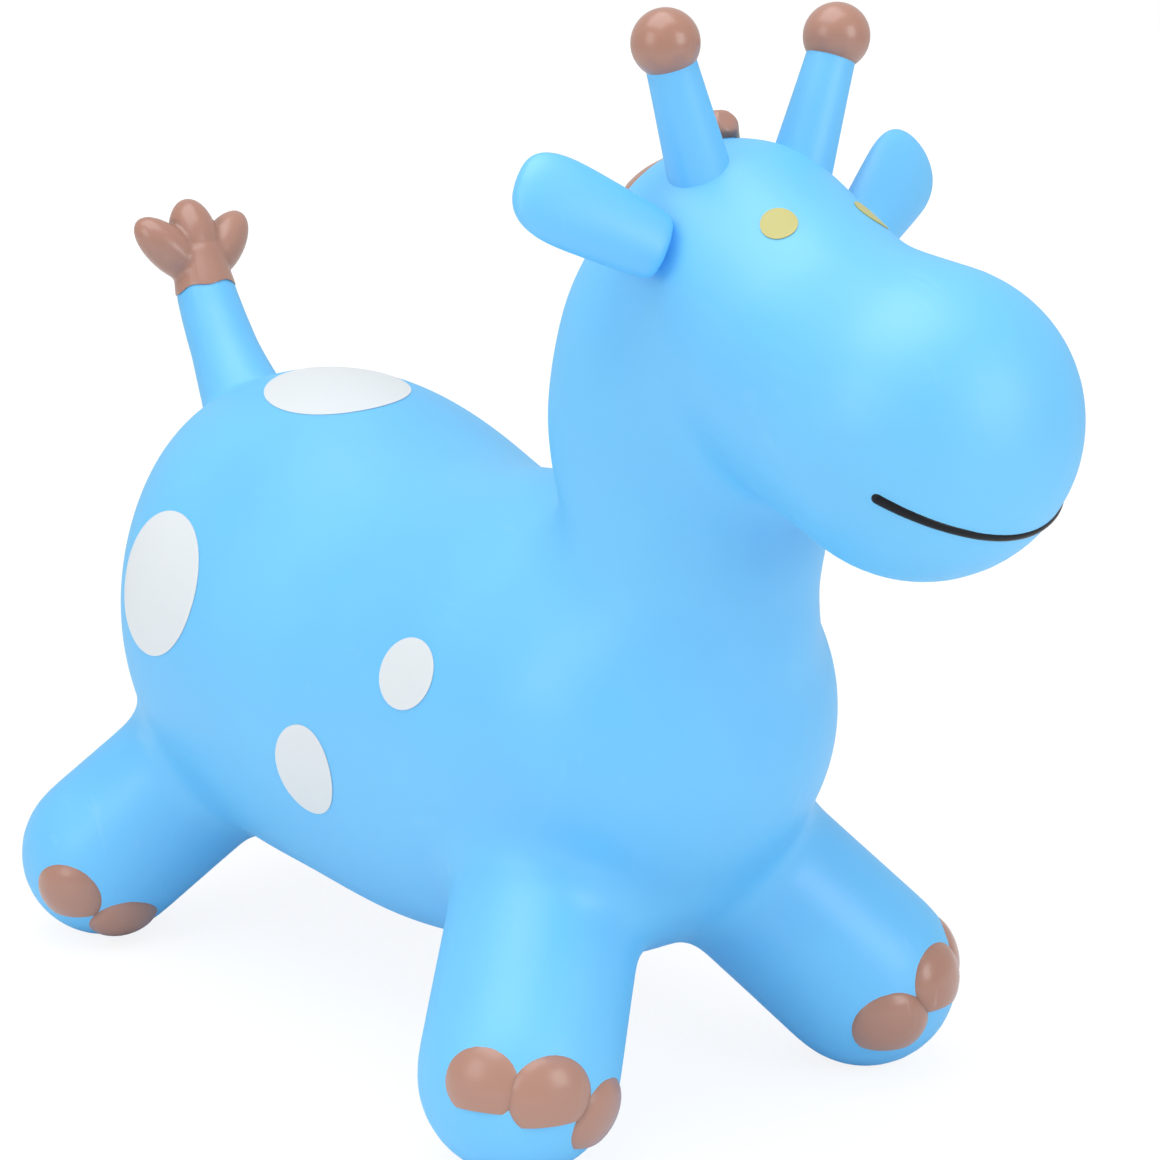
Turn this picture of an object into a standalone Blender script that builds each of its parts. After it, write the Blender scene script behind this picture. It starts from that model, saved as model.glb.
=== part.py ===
"""Animal hopper: a blue air-filled giraffe that a small child sits on and bounces."""

import math

import bmesh
import bpy
from mathutils import Matrix, Vector
from mathutils.bvhtree import BVHTree

# Lengths in metres: X towards the nose, Y to the animal's left, Z up from the floor

# Moulded skin, paint and fits
WALL = 0.0022
FIT_GAP = 0.0003
COAT_THICKNESS = 0.0005
WELD = 0.00008
FLAT_ANGLE = math.radians(0.6)
FORM_VOXEL = 0.005
FORM_SMOOTHING = 16
FACET_SIZE = 0.024
FACET_SMOOTHING = 3
SOFTENING = 0.5
STAMP_DEPTH = 0.056
FAR_OUT = 1.0

# Torso, from the rump to the chest
RUMP_X = -0.193
RUMP_Z = 0.1705
RUMP_RADIUS = 0.1050
SADDLE_X = -0.157
SADDLE_Z = 0.1675
SADDLE_RADIUS = 0.1255
SHOULDER_X = -0.040
SHOULDER_Z = 0.148
SHOULDER_RADIUS = 0.111
CHEST_X = 0.0465
CHEST_Z = 0.160
CHEST_RADIUS = 0.108
TORSO_WIDTH_SHARE = 0.88

# Neck
NECK_ROOT_X = 0.0795
NECK_ROOT_Z = 0.172
NECK_ROOT_RADIUS = 0.0905
NECK_MID_X = 0.1210
NECK_MID_Z = 0.245
NECK_MID_RADIUS = 0.0525
NECK_TOP_X = 0.1190
NECK_TOP_Z = 0.310
NECK_TOP_RADIUS = 0.0650

# Skull and muzzle
SKULL_X = 0.147
SKULL_Z = 0.366
SKULL_RADIUS = 0.057
NOSE_BRIDGE_X = 0.203
NOSE_BRIDGE_Z = 0.341
NOSE_BRIDGE_RADIUS = 0.0545
MUZZLE_X = 0.2595
MUZZLE_Z = 0.3235
MUZZLE_RADIUS = 0.0612

# Legs
STANCE_HALF_WIDTH = 0.096
REAR_FOOT_SPREAD = 0.004
FRONT_HIP_X = 0.080
FRONT_FOOT_X = 0.1275
REAR_HIP_X = -0.200
REAR_FOOT_X = -0.228
HIP_Y = 0.040
HIP_Z = 0.106
HIP_RADIUS = 0.0445
FOOT_Z = 0.0394
FOOT_RADIUS = 0.0432

# Toes, turned outwards from straight ahead and pitched down from level
TOE_REACH = 0.0355
TOE_WIDTH = 0.0355
TOE_HEIGHT = 0.0325
TOE_DEPTH = 0.0220
FRONT_OUTER_TOE_TURN = math.radians(57.0)
FRONT_OUTER_TOE_PITCH = math.radians(-15.0)
FRONT_MIDDLE_TOE_TURN = math.radians(16.0)
FRONT_MIDDLE_TOE_PITCH = math.radians(-10.0)
FRONT_INNER_TOE_TURN = math.radians(-25.0)
FRONT_INNER_TOE_PITCH = math.radians(7.0)
REAR_OUTER_TOE_TURN = math.radians(57.0)
REAR_OUTER_TOE_PITCH = math.radians(5.0)
REAR_INNER_TOE_TURN = math.radians(11.0)
REAR_INNER_TOE_PITCH = math.radians(33.0)

# Horns
HORN_X = 0.1555
HORN_ROOT_Y = 0.0222
HORN_ROOT_Z = 0.398
HORN_BALL_Y = 0.0437
HORN_BALL_Z = 0.462
HORN_ROOT_RADIUS = 0.0136
HORN_TOP_RADIUS = 0.0102
HORN_BALL_RADIUS = 0.0131

# Ears
EAR_ROOT_X = 0.160
EAR_ROOT_Y = 0.040
EAR_ROOT_Z = 0.3785
EAR_TIP_X = 0.142
EAR_TIP_Y = 0.1045
EAR_TIP_Z = 0.4115
EAR_WIDTH = 0.0372
EAR_THICKNESS = 0.0180
EAR_FACE_LEAN = 0.0
EAR_OUTLINE = ((0.0, 0.80), (0.30, 1.0), (0.62, 0.97), (0.84, 0.80), (0.96, 0.47), (1.0, 0.16))

# Mane down the nape
MANE_TOP_X = 0.129
MANE_CROWN_Z = 0.391
MANE_NAPE_Z = 0.355
MANE_LOW_Z = 0.319
MANE_SINK = 0.0
MANE_LOBE_RADIUS = 0.0146
MANE_DIP_RADIUS = 0.0095
MANE_END_SHARE = 0.35
MANE_WIDTH_SHARE = 0.80

# Tail and its tuft
TAIL_ROOT_X = -0.243
TAIL_ROOT_Z = 0.245
TAIL_ROOT_RADIUS = 0.024
TAIL_MID_X = -0.267
TAIL_MID_Z = 0.285
TAIL_MID_RADIUS = 0.0172
TAIL_TOP_X = -0.2830
TAIL_TOP_Z = 0.311
TAIL_TOP_RADIUS = 0.0148
TAIL_CORE_SHARE = 0.5
TAIL_CORE_TAPER = 0.9
TUFT_UPRIGHT = 0.35
TUFT_STEM_LENGTH = 0.018
TUFT_STEM_STEP = 0.0006
TUFT_CROWN_SHARE = 0.6
TUFT_TOP_LENGTH = 0.046
TUFT_SIDE_LENGTH = 0.0455
TUFT_LOBE_WIDTH = 0.023
TUFT_SIDE_SPREAD = math.radians(45.0)
TUFT_FACET = 0.0070

# Painted face
EYE_X = 0.1990
EYE_Z = 0.3945
EYE_LENGTH = 0.0150
EYE_HEIGHT = 0.0170
SMILE_TURN = math.radians(61.0)
SMILE_END_Z = 0.3055
SMILE_FRONT_Z = 0.288
SMILE_WIDTH = 0.0046
SMILE_STEPS = 10

# White spots
BACK_SPOT_X = -0.150
BACK_SPOT_Y = -0.005
BACK_SPOT_LENGTH = 0.096
BACK_SPOT_WIDTH = 0.074
RUMP_SPOT_X = -0.171
RUMP_SPOT_Z = 0.1935
RUMP_SPOT_LENGTH = 0.100
RUMP_SPOT_HEIGHT = 0.071
RUMP_SPOT_LEAN = -0.2
FLANK_SPOT_X = 0.039
FLANK_SPOT_Z = 0.192
FLANK_SPOT_LENGTH = 0.042
FLANK_SPOT_HEIGHT = 0.032
LOW_SPOT_X = -0.0385
LOW_SPOT_Z = 0.1295
LOW_SPOT_LENGTH = 0.0445
LOW_SPOT_HEIGHT = 0.045

# Air valve under the belly
VALVE_X = -0.060
BOSS_RADIUS = 0.021
BOSS_HEIGHT = 0.010
BUSH_FLANGE_RADIUS = 0.0150
BUSH_FLANGE_THICKNESS = 0.0020
BUSH_RADIUS = 0.0100
BUSH_BORE_RADIUS = 0.0050
BUSH_LENGTH = 0.0130
PLUG_HEAD_RADIUS = 0.0095
PLUG_HEAD_THICKNESS = 0.0020
PLUG_LENGTH = 0.0150
PLUG_TIP_RADIUS = 0.0036
PLUG_TAPER_SHARE = 0.7

# Round shapes
ROUND_STEPS = 24
FORM_RINGS = 16

SIDES = (("right", -1.0), ("left", 1.0))


def make_collection(name):
    """Add a collection to the scene."""
    collection = bpy.data.collections.new(name)
    bpy.context.scene.collection.children.link(collection)
    return collection


def make_object(name, mesh, collection):
    """Add an object that holds the given mesh."""
    obj = bpy.data.objects.new(name, mesh)
    collection.objects.link(obj)
    return obj


def make_tool(name, mesh):
    """Add a shaping tool that never shows in a picture."""
    obj = make_object(name, mesh, bpy.data.collections["shaping_tools"])
    obj.display_type = "WIRE"
    obj.hide_render = True
    return obj


def make_material(name, colour, roughness):
    """Make a plain finish."""
    material = bpy.data.materials.new(name)
    material.use_nodes = True
    shader = material.node_tree.nodes["Principled BSDF"]
    shader.inputs["Base Color"].default_value = (*colour, 1.0)
    shader.inputs["Roughness"].default_value = roughness
    shader.inputs["Metallic"].default_value = 0.0
    material.diffuse_color = (*colour, 1.0)
    return material


def settled_mesh(obj):
    """Return the mesh that an object has after its modifiers."""
    depsgraph = bpy.context.evaluated_depsgraph_get()
    return bpy.data.meshes.new_from_object(obj.evaluated_get(depsgraph), depsgraph=depsgraph)


def settle(obj):
    """Turn an object's modifiers into its own mesh."""
    mesh = settled_mesh(obj)
    obj.modifiers.clear()
    obj.data = mesh
    return obj


def combine(obj, other, operation):
    """Join, cut or keep the common part of two solids."""
    step = obj.modifiers.new(operation.lower(), "BOOLEAN")
    step.operation = operation
    step.solver = "EXACT"
    step.object = other
    settle(obj)
    bm = bmesh.new()
    bm.from_mesh(obj.data)
    bmesh.ops.remove_doubles(bm, verts=bm.verts, dist=WELD)
    bmesh.ops.dissolve_degenerate(bm, edges=bm.edges, dist=WELD)
    bmesh.ops.triangulate(bm, faces=bm.faces)
    bm.to_mesh(obj.data)
    bm.free()
    return obj


def mesh_from(name, bm):
    """Store a working mesh, its faces turned outwards and split into flat triangles."""
    bmesh.ops.recalc_face_normals(bm, faces=bm.faces)
    bmesh.ops.triangulate(bm, faces=bm.faces)
    mesh = bpy.data.meshes.new(name)
    bm.to_mesh(mesh)
    bm.free()
    return mesh


def lean_matrix(centre, axis, across):
    """Return a frame at a point with Z along the axis and X close to the other direction."""
    z_axis = Vector(axis).normalized()
    y_axis = z_axis.cross(Vector(across)).normalized()
    x_axis = y_axis.cross(z_axis)
    turn = Matrix((x_axis, y_axis, z_axis)).transposed().to_4x4()
    return Matrix.Translation(Vector(centre)) @ turn


def ovoid(name, frame, radii, grow=0.0, segments=10, rings=6):
    """Make an egg shape with its poles on the frame's Z axis."""
    bm = bmesh.new()
    bmesh.ops.create_uvsphere(bm, u_segments=segments, v_segments=rings, radius=1.0)
    sizes = Vector(radii) + Vector((grow, grow, grow))
    bmesh.ops.transform(bm, matrix=frame @ Matrix.Diagonal((*sizes, 1.0)), verts=bm.verts)
    return make_tool(name, mesh_from(name, bm))


def cone(name, frame, low_radius, high_radius, length, segments=ROUND_STEPS):
    """Make a straight round bar that starts at the frame and runs along its Z axis."""
    bm = bmesh.new()
    lift = Matrix.Translation((0.0, 0.0, 0.5 * length))
    bmesh.ops.create_cone(bm, cap_ends=True, segments=segments, radius1=low_radius,
                          radius2=high_radius, depth=length, matrix=frame @ lift)
    return make_tool(name, mesh_from(name, bm))


def floor_block(name, top):
    """Make a wide block that fills everything below a height."""
    bm = bmesh.new()
    bmesh.ops.create_cube(bm, size=2.0 * FAR_OUT, matrix=Matrix.Translation((0.0, 0.0, top - FAR_OUT)))
    return make_tool(name, mesh_from(name, bm))


def lathe(name, profile, closed, collection):
    """Turn a profile of radius and height pairs about the Z axis."""
    bm = bmesh.new()
    points = [bm.verts.new((radius, 0.0, height)) for radius, height in profile]
    for first, second in zip(points, points[1:]):
        bm.edges.new((first, second))
    if closed:
        bm.edges.new((points[-1], points[0]))
    obj = make_object(name, mesh_from(name, bm), collection)
    turn = obj.modifiers.new("turn", "SCREW")
    turn.axis = "Z"
    turn.angle = 2.0 * math.pi
    turn.steps = ROUND_STEPS
    turn.render_steps = ROUND_STEPS
    turn.use_merge_vertices = True
    turn.merge_threshold = 0.00001
    return settle(obj)


def limb(name, stations, steps):
    """Make a tapering tube through stations of point and radius, with steps between stations."""
    curve = bpy.data.curves.new(name, "CURVE")
    curve.dimensions = "3D"
    curve.bevel_depth = 1.0
    curve.bevel_resolution = 4
    curve.resolution_u = steps
    curve.use_fill_caps = True
    spline = curve.splines.new("BEZIER")
    spline.bezier_points.add(len(stations) - 1)
    for knot, (centre, radius) in zip(spline.bezier_points, stations):
        knot.co = centre
        knot.radius = radius
        knot.handle_left_type = "AUTO"
        knot.handle_right_type = "AUTO"
    tube = make_tool(name + "_path", curve)
    mesh = settled_mesh(tube)
    bpy.data.objects.remove(tube)
    bm = bmesh.new()
    bm.from_mesh(mesh)
    bmesh.ops.remove_doubles(bm, verts=bm.verts, dist=0.00001)
    return mesh_from(name, bm)


def add_round_limb(bm, name, stations, width_share=1.0):
    """Add a tapering tube with round ends to the rough form."""
    start = len(bm.verts)
    bm.from_mesh(limb(name, stations, 8))
    for centre, radius in (stations[0], stations[-1]):
        bmesh.ops.create_uvsphere(bm, u_segments=2 * FORM_RINGS, v_segments=FORM_RINGS, radius=radius,
                                  matrix=Matrix.Translation(centre))
    bm.verts.ensure_lookup_table()
    squash = Matrix.Diagonal((1.0, width_share, 1.0, 1.0))
    bmesh.ops.transform(bm, matrix=squash, verts=bm.verts[start:])


def foot_points(side):
    """Return the front and rear foot centres on one side."""
    front = Vector((FRONT_FOOT_X, side * STANCE_HALF_WIDTH, FOOT_Z))
    rear = Vector((REAR_FOOT_X, side * (STANCE_HALF_WIDTH + REAR_FOOT_SPREAD), FOOT_Z))
    return (("front", front, FRONT_HIP_X), ("rear", rear, REAR_HIP_X))


def rough_form():
    """Lay out the torso, neck, head and legs as overlapping round limbs."""
    bm = bmesh.new()
    torso = (((RUMP_X, 0.0, RUMP_Z), RUMP_RADIUS),
             ((SADDLE_X, 0.0, SADDLE_Z), SADDLE_RADIUS),
             ((SHOULDER_X, 0.0, SHOULDER_Z), SHOULDER_RADIUS),
             ((CHEST_X, 0.0, CHEST_Z), CHEST_RADIUS))
    add_round_limb(bm, "torso", torso, TORSO_WIDTH_SHARE)
    skull = ((SKULL_X, 0.0, SKULL_Z), SKULL_RADIUS)
    neck = (((NECK_ROOT_X, 0.0, NECK_ROOT_Z), NECK_ROOT_RADIUS),
            ((NECK_MID_X, 0.0, NECK_MID_Z), NECK_MID_RADIUS),
            ((NECK_TOP_X, 0.0, NECK_TOP_Z), NECK_TOP_RADIUS), skull)
    add_round_limb(bm, "neck", neck)
    head = (skull, ((NOSE_BRIDGE_X, 0.0, NOSE_BRIDGE_Z), NOSE_BRIDGE_RADIUS),
            ((MUZZLE_X, 0.0, MUZZLE_Z), MUZZLE_RADIUS))
    add_round_limb(bm, "head", head)
    for _, side in SIDES:
        for end, foot, hip_x in foot_points(side):
            leg = (((hip_x, side * HIP_Y, HIP_Z), HIP_RADIUS), (tuple(foot), FOOT_RADIUS))
            add_round_limb(bm, end + "_leg", leg)
    return make_tool("rough_form", mesh_from("rough_form", bm))


def smooth_form():
    """Blend the rough limbs into one soft shape, then lay even facets on it."""
    fine = rough_form()
    merge = fine.modifiers.new("merge", "REMESH")
    merge.mode = "VOXEL"
    merge.voxel_size = FORM_VOXEL
    blend = fine.modifiers.new("blend", "SMOOTH")
    blend.factor = SOFTENING
    blend.iterations = FORM_SMOOTHING
    settle(fine)
    form = make_tool("body_form", fine.data.copy())
    even = form.modifiers.new("even", "REMESH")
    even.mode = "VOXEL"
    even.voxel_size = FACET_SIZE
    relax = form.modifiers.new("relax", "SMOOTH")
    relax.factor = SOFTENING
    relax.iterations = FACET_SMOOTHING
    wrap = form.modifiers.new("wrap", "SHRINKWRAP")
    wrap.target = fine
    form.modifiers.new("flat", "TRIANGULATE")
    return settle(form)


def offset_form(form, name, distance):
    """Copy the body form with its surface moved outwards by a distance."""
    copy = make_tool(name, form.data.copy())
    push = copy.modifiers.new("push", "DISPLACE")
    push.direction = "NORMAL"
    push.mid_level = 0.0
    push.strength = distance
    return settle(copy)


def surface_point(form, start, direction):
    """Find where a straight line first meets the body, and the way it faces there."""
    bm = bmesh.new()
    bm.from_mesh(form.data)
    tree = BVHTree.FromBMesh(bm)
    bm.free()
    point, normal, _, _ = tree.ray_cast(Vector(start), Vector(direction))
    return point, normal


def toe_rows():
    """Return the toes of a front and of a rear foot, each with its turn and pitch."""
    front = (("outer", FRONT_OUTER_TOE_TURN, FRONT_OUTER_TOE_PITCH),
             ("middle", FRONT_MIDDLE_TOE_TURN, FRONT_MIDDLE_TOE_PITCH),
             ("inner", FRONT_INNER_TOE_TURN, FRONT_INNER_TOE_PITCH))
    rear = (("outer", REAR_OUTER_TOE_TURN, REAR_OUTER_TOE_PITCH),
            ("inner", REAR_INNER_TOE_TURN, REAR_INNER_TOE_PITCH))
    return {"front": front, "rear": rear}


def toe_shape(foot, side, turn, pitch, grow):
    """Make one rounded toe on a foot."""
    level = Vector((math.cos(turn), side * math.sin(turn), 0.0))
    out = level * math.cos(pitch) - Vector((0.0, 0.0, math.sin(pitch)))
    upright = level * math.sin(pitch) + Vector((0.0, 0.0, math.cos(pitch)))
    frame = lean_matrix(foot + out * TOE_REACH, upright, out)
    radii = (0.5 * TOE_DEPTH, 0.5 * TOE_WIDTH, 0.5 * TOE_HEIGHT)
    return ovoid("toe_form", frame, radii, grow)


def horn_frame(side):
    """Return the frame of one horn, from its root towards its ball."""
    root = Vector((HORN_X, side * HORN_ROOT_Y, HORN_ROOT_Z))
    top = Vector((HORN_X, side * HORN_BALL_Y, HORN_BALL_Z))
    return lean_matrix(root, top - root, (1.0, 0.0, 0.0)), (top - root).length


def horn_stem(side, grow):
    """Make one tapering horn stem."""
    frame, length = horn_frame(side)
    return cone("horn_stem_form", frame, HORN_ROOT_RADIUS + grow, HORN_TOP_RADIUS + grow, length, 16)


def horn_ball(side, grow):
    """Make one horn ball."""
    frame, length = horn_frame(side)
    centre = frame @ Matrix.Translation((0.0, 0.0, length))
    radius = HORN_BALL_RADIUS
    return ovoid("horn_ball_form", centre, (radius, radius, radius), grow, 14, 8)


def ear(side):
    """Make one thick ear with a blunt tip."""
    root = Vector((EAR_ROOT_X, side * EAR_ROOT_Y, EAR_ROOT_Z))
    tip = Vector((EAR_TIP_X, side * EAR_TIP_Y, EAR_TIP_Z))
    frame = lean_matrix(root, tip - root, (EAR_FACE_LEAN, 0.0, 1.0))
    length = (tip - root).length
    stations = [((0.0, 0.0, share * length), 0.5 * EAR_WIDTH * width) for share, width in EAR_OUTLINE]
    shape = make_tool("ear_form", limb("ear_form", stations, 1))
    shape.data.transform(frame @ Matrix.Diagonal((1.0, EAR_THICKNESS / EAR_WIDTH, 1.0, 1.0)))
    return shape


def mane_line(form):
    """Find the middles of the mane's lobes, just under the back of the head and neck."""
    hits = [surface_point(form, (MANE_TOP_X, 0.0, FAR_OUT), (0.0, 0.0, -1.0))]
    for height in (MANE_CROWN_Z, MANE_NAPE_Z, MANE_LOW_Z):
        hits.append(surface_point(form, (-FAR_OUT, 0.0, height), (1.0, 0.0, 0.0)))
    return [point - normal * MANE_SINK for point, normal in hits]


def mane_crest(middles, grow):
    """Make the scalloped crest of the mane."""
    lobe = MANE_LOBE_RADIUS + grow
    start = middles[0] + (middles[0] - middles[1]).normalized() * lobe
    end = middles[-1] + (middles[-1] - middles[-2]).normalized() * lobe
    stations = [(tuple(start), MANE_END_SHARE * lobe)]
    for index, middle in enumerate(middles):
        stations.append((tuple(middle), lobe))
        if index + 1 < len(middles):
            stations.append((tuple((middle + middles[index + 1]) * 0.5), MANE_DIP_RADIUS + grow))
    stations.append((tuple(end), MANE_END_SHARE * lobe))
    crest = make_tool("mane_form", limb("mane_form", stations, 2))
    crest.data.transform(Matrix.Diagonal((1.0, MANE_WIDTH_SHARE, 1.0, 1.0)))
    return crest


def tail_end():
    """Return the paint line on the tail and the way the tail runs there."""
    top = Vector((TAIL_TOP_X, 0.0, TAIL_TOP_Z))
    along = (top - Vector((TAIL_MID_X, 0.0, TAIL_MID_Z))).normalized()
    return top, (along + Vector((0.0, 0.0, TUFT_UPRIGHT))).normalized()


def tail_tube(grow):
    """Make the tail, running on into its tuft."""
    top, along = tail_end()
    core_end = top + along * (TAIL_CORE_SHARE * TUFT_STEM_LENGTH)
    stations = (((TAIL_ROOT_X, 0.0, TAIL_ROOT_Z), TAIL_ROOT_RADIUS + grow),
                ((TAIL_MID_X, 0.0, TAIL_MID_Z), TAIL_MID_RADIUS + grow),
                (tuple(top), TAIL_TOP_RADIUS + grow),
                (tuple(core_end), TAIL_CORE_TAPER * TAIL_TOP_RADIUS + grow))
    return make_tool("tail_form", limb("tail_form", stations, 4))


def tuft_form():
    """Blend a short stem and three lobes into the tail's tuft."""
    top, along = tail_end()
    radius = TAIL_TOP_RADIUS + TUFT_STEM_STEP
    bm = bmesh.new()
    stem = lean_matrix(top + along * (0.5 * TUFT_STEM_LENGTH), along, (1.0, 0.0, 0.0))
    bmesh.ops.create_cone(bm, cap_ends=True, segments=ROUND_STEPS, radius1=radius, radius2=radius,
                          depth=TUFT_STEM_LENGTH, matrix=stem)
    crown = top + along * (TUFT_CROWN_SHARE * TUFT_STEM_LENGTH)
    for spread, length in ((0.0, TUFT_TOP_LENGTH), (-TUFT_SIDE_SPREAD, TUFT_SIDE_LENGTH),
                           (TUFT_SIDE_SPREAD, TUFT_SIDE_LENGTH)):
        lean = along * math.cos(spread) + Vector((0.0, math.sin(spread), 0.0))
        frame = lean_matrix(crown + lean * (0.5 * length), lean, (1.0, 0.0, 0.0))
        size = Matrix.Diagonal((0.5 * TUFT_LOBE_WIDTH, 0.5 * TUFT_LOBE_WIDTH, 0.5 * length, 1.0))
        bmesh.ops.create_uvsphere(bm, u_segments=ROUND_STEPS, v_segments=FORM_RINGS, radius=1.0,
                                  matrix=frame @ size)
    tuft = make_tool("tuft_form", mesh_from("tuft_form", bm))
    merge = tuft.modifiers.new("merge", "REMESH")
    merge.mode = "VOXEL"
    merge.voxel_size = TUFT_FACET
    relax = tuft.modifiers.new("relax", "SMOOTH")
    relax.factor = SOFTENING
    relax.iterations = 1
    tuft.modifiers.new("flat", "TRIANGULATE")
    return settle(tuft)


def coat_over(name, outer, inner, bases, material, parts):
    """Make a thin coat of paint over a raised detail, clear of the skin all round."""
    combine(outer, inner, "DIFFERENCE")
    for base in bases:
        combine(outer, base, "DIFFERENCE")
    return finish_part(name, outer.data.copy(), material, parts)


def coat_patch(name, mask, layers, material, parts):
    """Make a thin coat of paint where a mask meets the body."""
    low, high = layers
    combine(mask, high, "INTERSECT")
    combine(mask, low, "DIFFERENCE")
    return finish_part(name, mask.data.copy(), material, parts)


def merge_flat_faces(mesh):
    """Join the flat fragments that cuts leave, then split the faces again."""
    bm = bmesh.new()
    bm.from_mesh(mesh)
    bmesh.ops.dissolve_limit(bm, angle_limit=FLAT_ANGLE, verts=bm.verts, edges=bm.edges)
    bmesh.ops.triangulate(bm, faces=bm.faces)
    bm.to_mesh(mesh)
    bm.free()


def finish_part(name, mesh, material, parts):
    """Store a finished piece with its material and smooth shading."""
    merge_flat_faces(mesh)
    obj = make_object(name, mesh, parts)
    mesh.name = name
    mesh.materials.clear()
    mesh.materials.append(material)
    for face in mesh.polygons:
        face.use_smooth = True
        face.material_index = 0
    return obj


def spot_mask(form, start, direction, upright, length, height):
    """Make an oval stamp that stands square on the body."""
    point, normal = surface_point(form, start, direction)
    frame = lean_matrix(point, normal, upright)
    sunk = frame @ Matrix.Translation((0.0, 0.0, -0.5 * STAMP_DEPTH))
    stamp = cone("spot_stamp", sunk, 0.5 * length, 0.5 * length, STAMP_DEPTH)
    shape = frame @ Matrix.Diagonal((height / length, 1.0, 1.0, 1.0)) @ frame.inverted()
    stamp.data.transform(shape)
    return stamp


def side_mask(form, side, x, z, length, height, lean=0.0):
    """Make an oval stamp on one side of the body, its upright leaning forward by a share."""
    start = (x, side * FAR_OUT, z)
    return spot_mask(form, start, (0.0, -side, 0.0), (lean, 0.0, 1.0), length, height)


def smile_mask(form):
    """Make a thin tube that follows the mouth line round the muzzle."""
    stations = []
    for step in range(2 * SMILE_STEPS + 1):
        share = step / SMILE_STEPS - 1.0
        angle = share * SMILE_TURN
        height = SMILE_FRONT_Z + (SMILE_END_Z - SMILE_FRONT_Z) * share * share
        out = Vector((math.cos(angle), math.sin(angle), 0.0))
        start = Vector((MUZZLE_X, 0.0, height)) + out * FAR_OUT
        point, _ = surface_point(form, start, -out)
        stations.append((tuple(point), 0.5 * SMILE_WIDTH))
    return make_tool("smile_stamp", limb("smile_stamp", stations, 1))


def build_skin(form, tuft, material, parts, belly_z):
    """Join every moulded detail, hollow the skin and bore the valve seat."""
    skin = make_tool("skin_form", form.data.copy())
    for _, side in SIDES:
        for end, foot, _ in foot_points(side):
            for _, turn, pitch in toe_rows()[end]:
                combine(skin, toe_shape(foot, side, turn, pitch, 0.0), "UNION")
        combine(skin, horn_stem(side, 0.0), "UNION")
        combine(skin, horn_ball(side, 0.0), "UNION")
        combine(skin, ear(side), "UNION")
    combine(skin, mane_crest(mane_line(form), 0.0), "UNION")
    combine(skin, tail_tube(0.0), "UNION")
    combine(skin, tuft, "UNION")
    combine(skin, floor_block("floor_cut", 0.0), "DIFFERENCE")
    cavity = offset_form(form, "cavity_form", -WALL)
    combine(cavity, floor_block("sole_cut", WALL), "DIFFERENCE")
    at_valve = Matrix.Translation((VALVE_X, 0.0, belly_z))
    boss = cone("boss_form", at_valve, BOSS_RADIUS, BOSS_RADIUS, BOSS_HEIGHT)
    combine(cavity, boss, "DIFFERENCE")
    combine(skin, cavity, "DIFFERENCE")
    seat_depth = BUSH_FLANGE_THICKNESS + FIT_GAP
    seat_radius = BUSH_FLANGE_RADIUS + FIT_GAP
    bore_radius = BUSH_RADIUS + FIT_GAP
    low = Matrix.Translation((VALVE_X, 0.0, belly_z - WALL))
    seat = cone("seat_form", low, seat_radius, seat_radius, WALL + seat_depth)
    combine(skin, seat, "DIFFERENCE")
    bore = cone("bore_form", low, bore_radius, bore_radius, 2.0 * BOSS_HEIGHT)
    combine(skin, bore, "DIFFERENCE")
    return finish_part("skin", skin.data.copy(), material, parts)


def build_valve(materials, parts, belly_z):
    """Make the valve bush and its push-in plug."""
    flange_high = BUSH_FLANGE_THICKNESS
    bush_profile = ((BUSH_RADIUS, BUSH_LENGTH), (BUSH_RADIUS, flange_high),
                    (BUSH_FLANGE_RADIUS, flange_high), (BUSH_FLANGE_RADIUS, 0.0),
                    (BUSH_BORE_RADIUS, 0.0), (BUSH_BORE_RADIUS, BUSH_LENGTH))
    bush = lathe("valve_bush", bush_profile, True, parts)
    bush.data.materials.append(materials["bush"])
    bush.location = (VALVE_X, 0.0, belly_z)
    head_top = -FIT_GAP
    head_low = head_top - PLUG_HEAD_THICKNESS
    shank = BUSH_BORE_RADIUS - FIT_GAP
    plug_profile = ((0.0, PLUG_LENGTH), (PLUG_TIP_RADIUS, PLUG_LENGTH),
                    (shank, PLUG_TAPER_SHARE * PLUG_LENGTH), (shank, head_top),
                    (PLUG_HEAD_RADIUS, head_top), (PLUG_HEAD_RADIUS, head_low), (0.0, head_low))
    plug = lathe("valve_plug", plug_profile, False, parts)
    plug.data.materials.append(materials["plug"])
    plug.location = (VALVE_X, 0.0, belly_z)


def paint_toes(end, name, foot, side, low, material, parts):
    """Paint the toes of one foot, each coat ending clear of the next toe's coat."""
    row = toe_rows()[end]
    for index, (label, turn, pitch) in enumerate(row):
        bases = [low]
        for _, other_turn, other_pitch in row[:index]:
            bases.append(toe_shape(foot, side, other_turn, other_pitch, FIT_GAP))
        for _, other_turn, other_pitch in row[index + 1:]:
            bases.append(toe_shape(foot, side, other_turn, other_pitch, 2.0 * FIT_GAP + COAT_THICKNESS))
        outer = toe_shape(foot, side, turn, pitch, FIT_GAP + COAT_THICKNESS)
        inner = toe_shape(foot, side, turn, pitch, FIT_GAP)
        coat_over("_".join((end, name, label, "toe_paint")), outer, inner, bases, material, parts)


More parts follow.
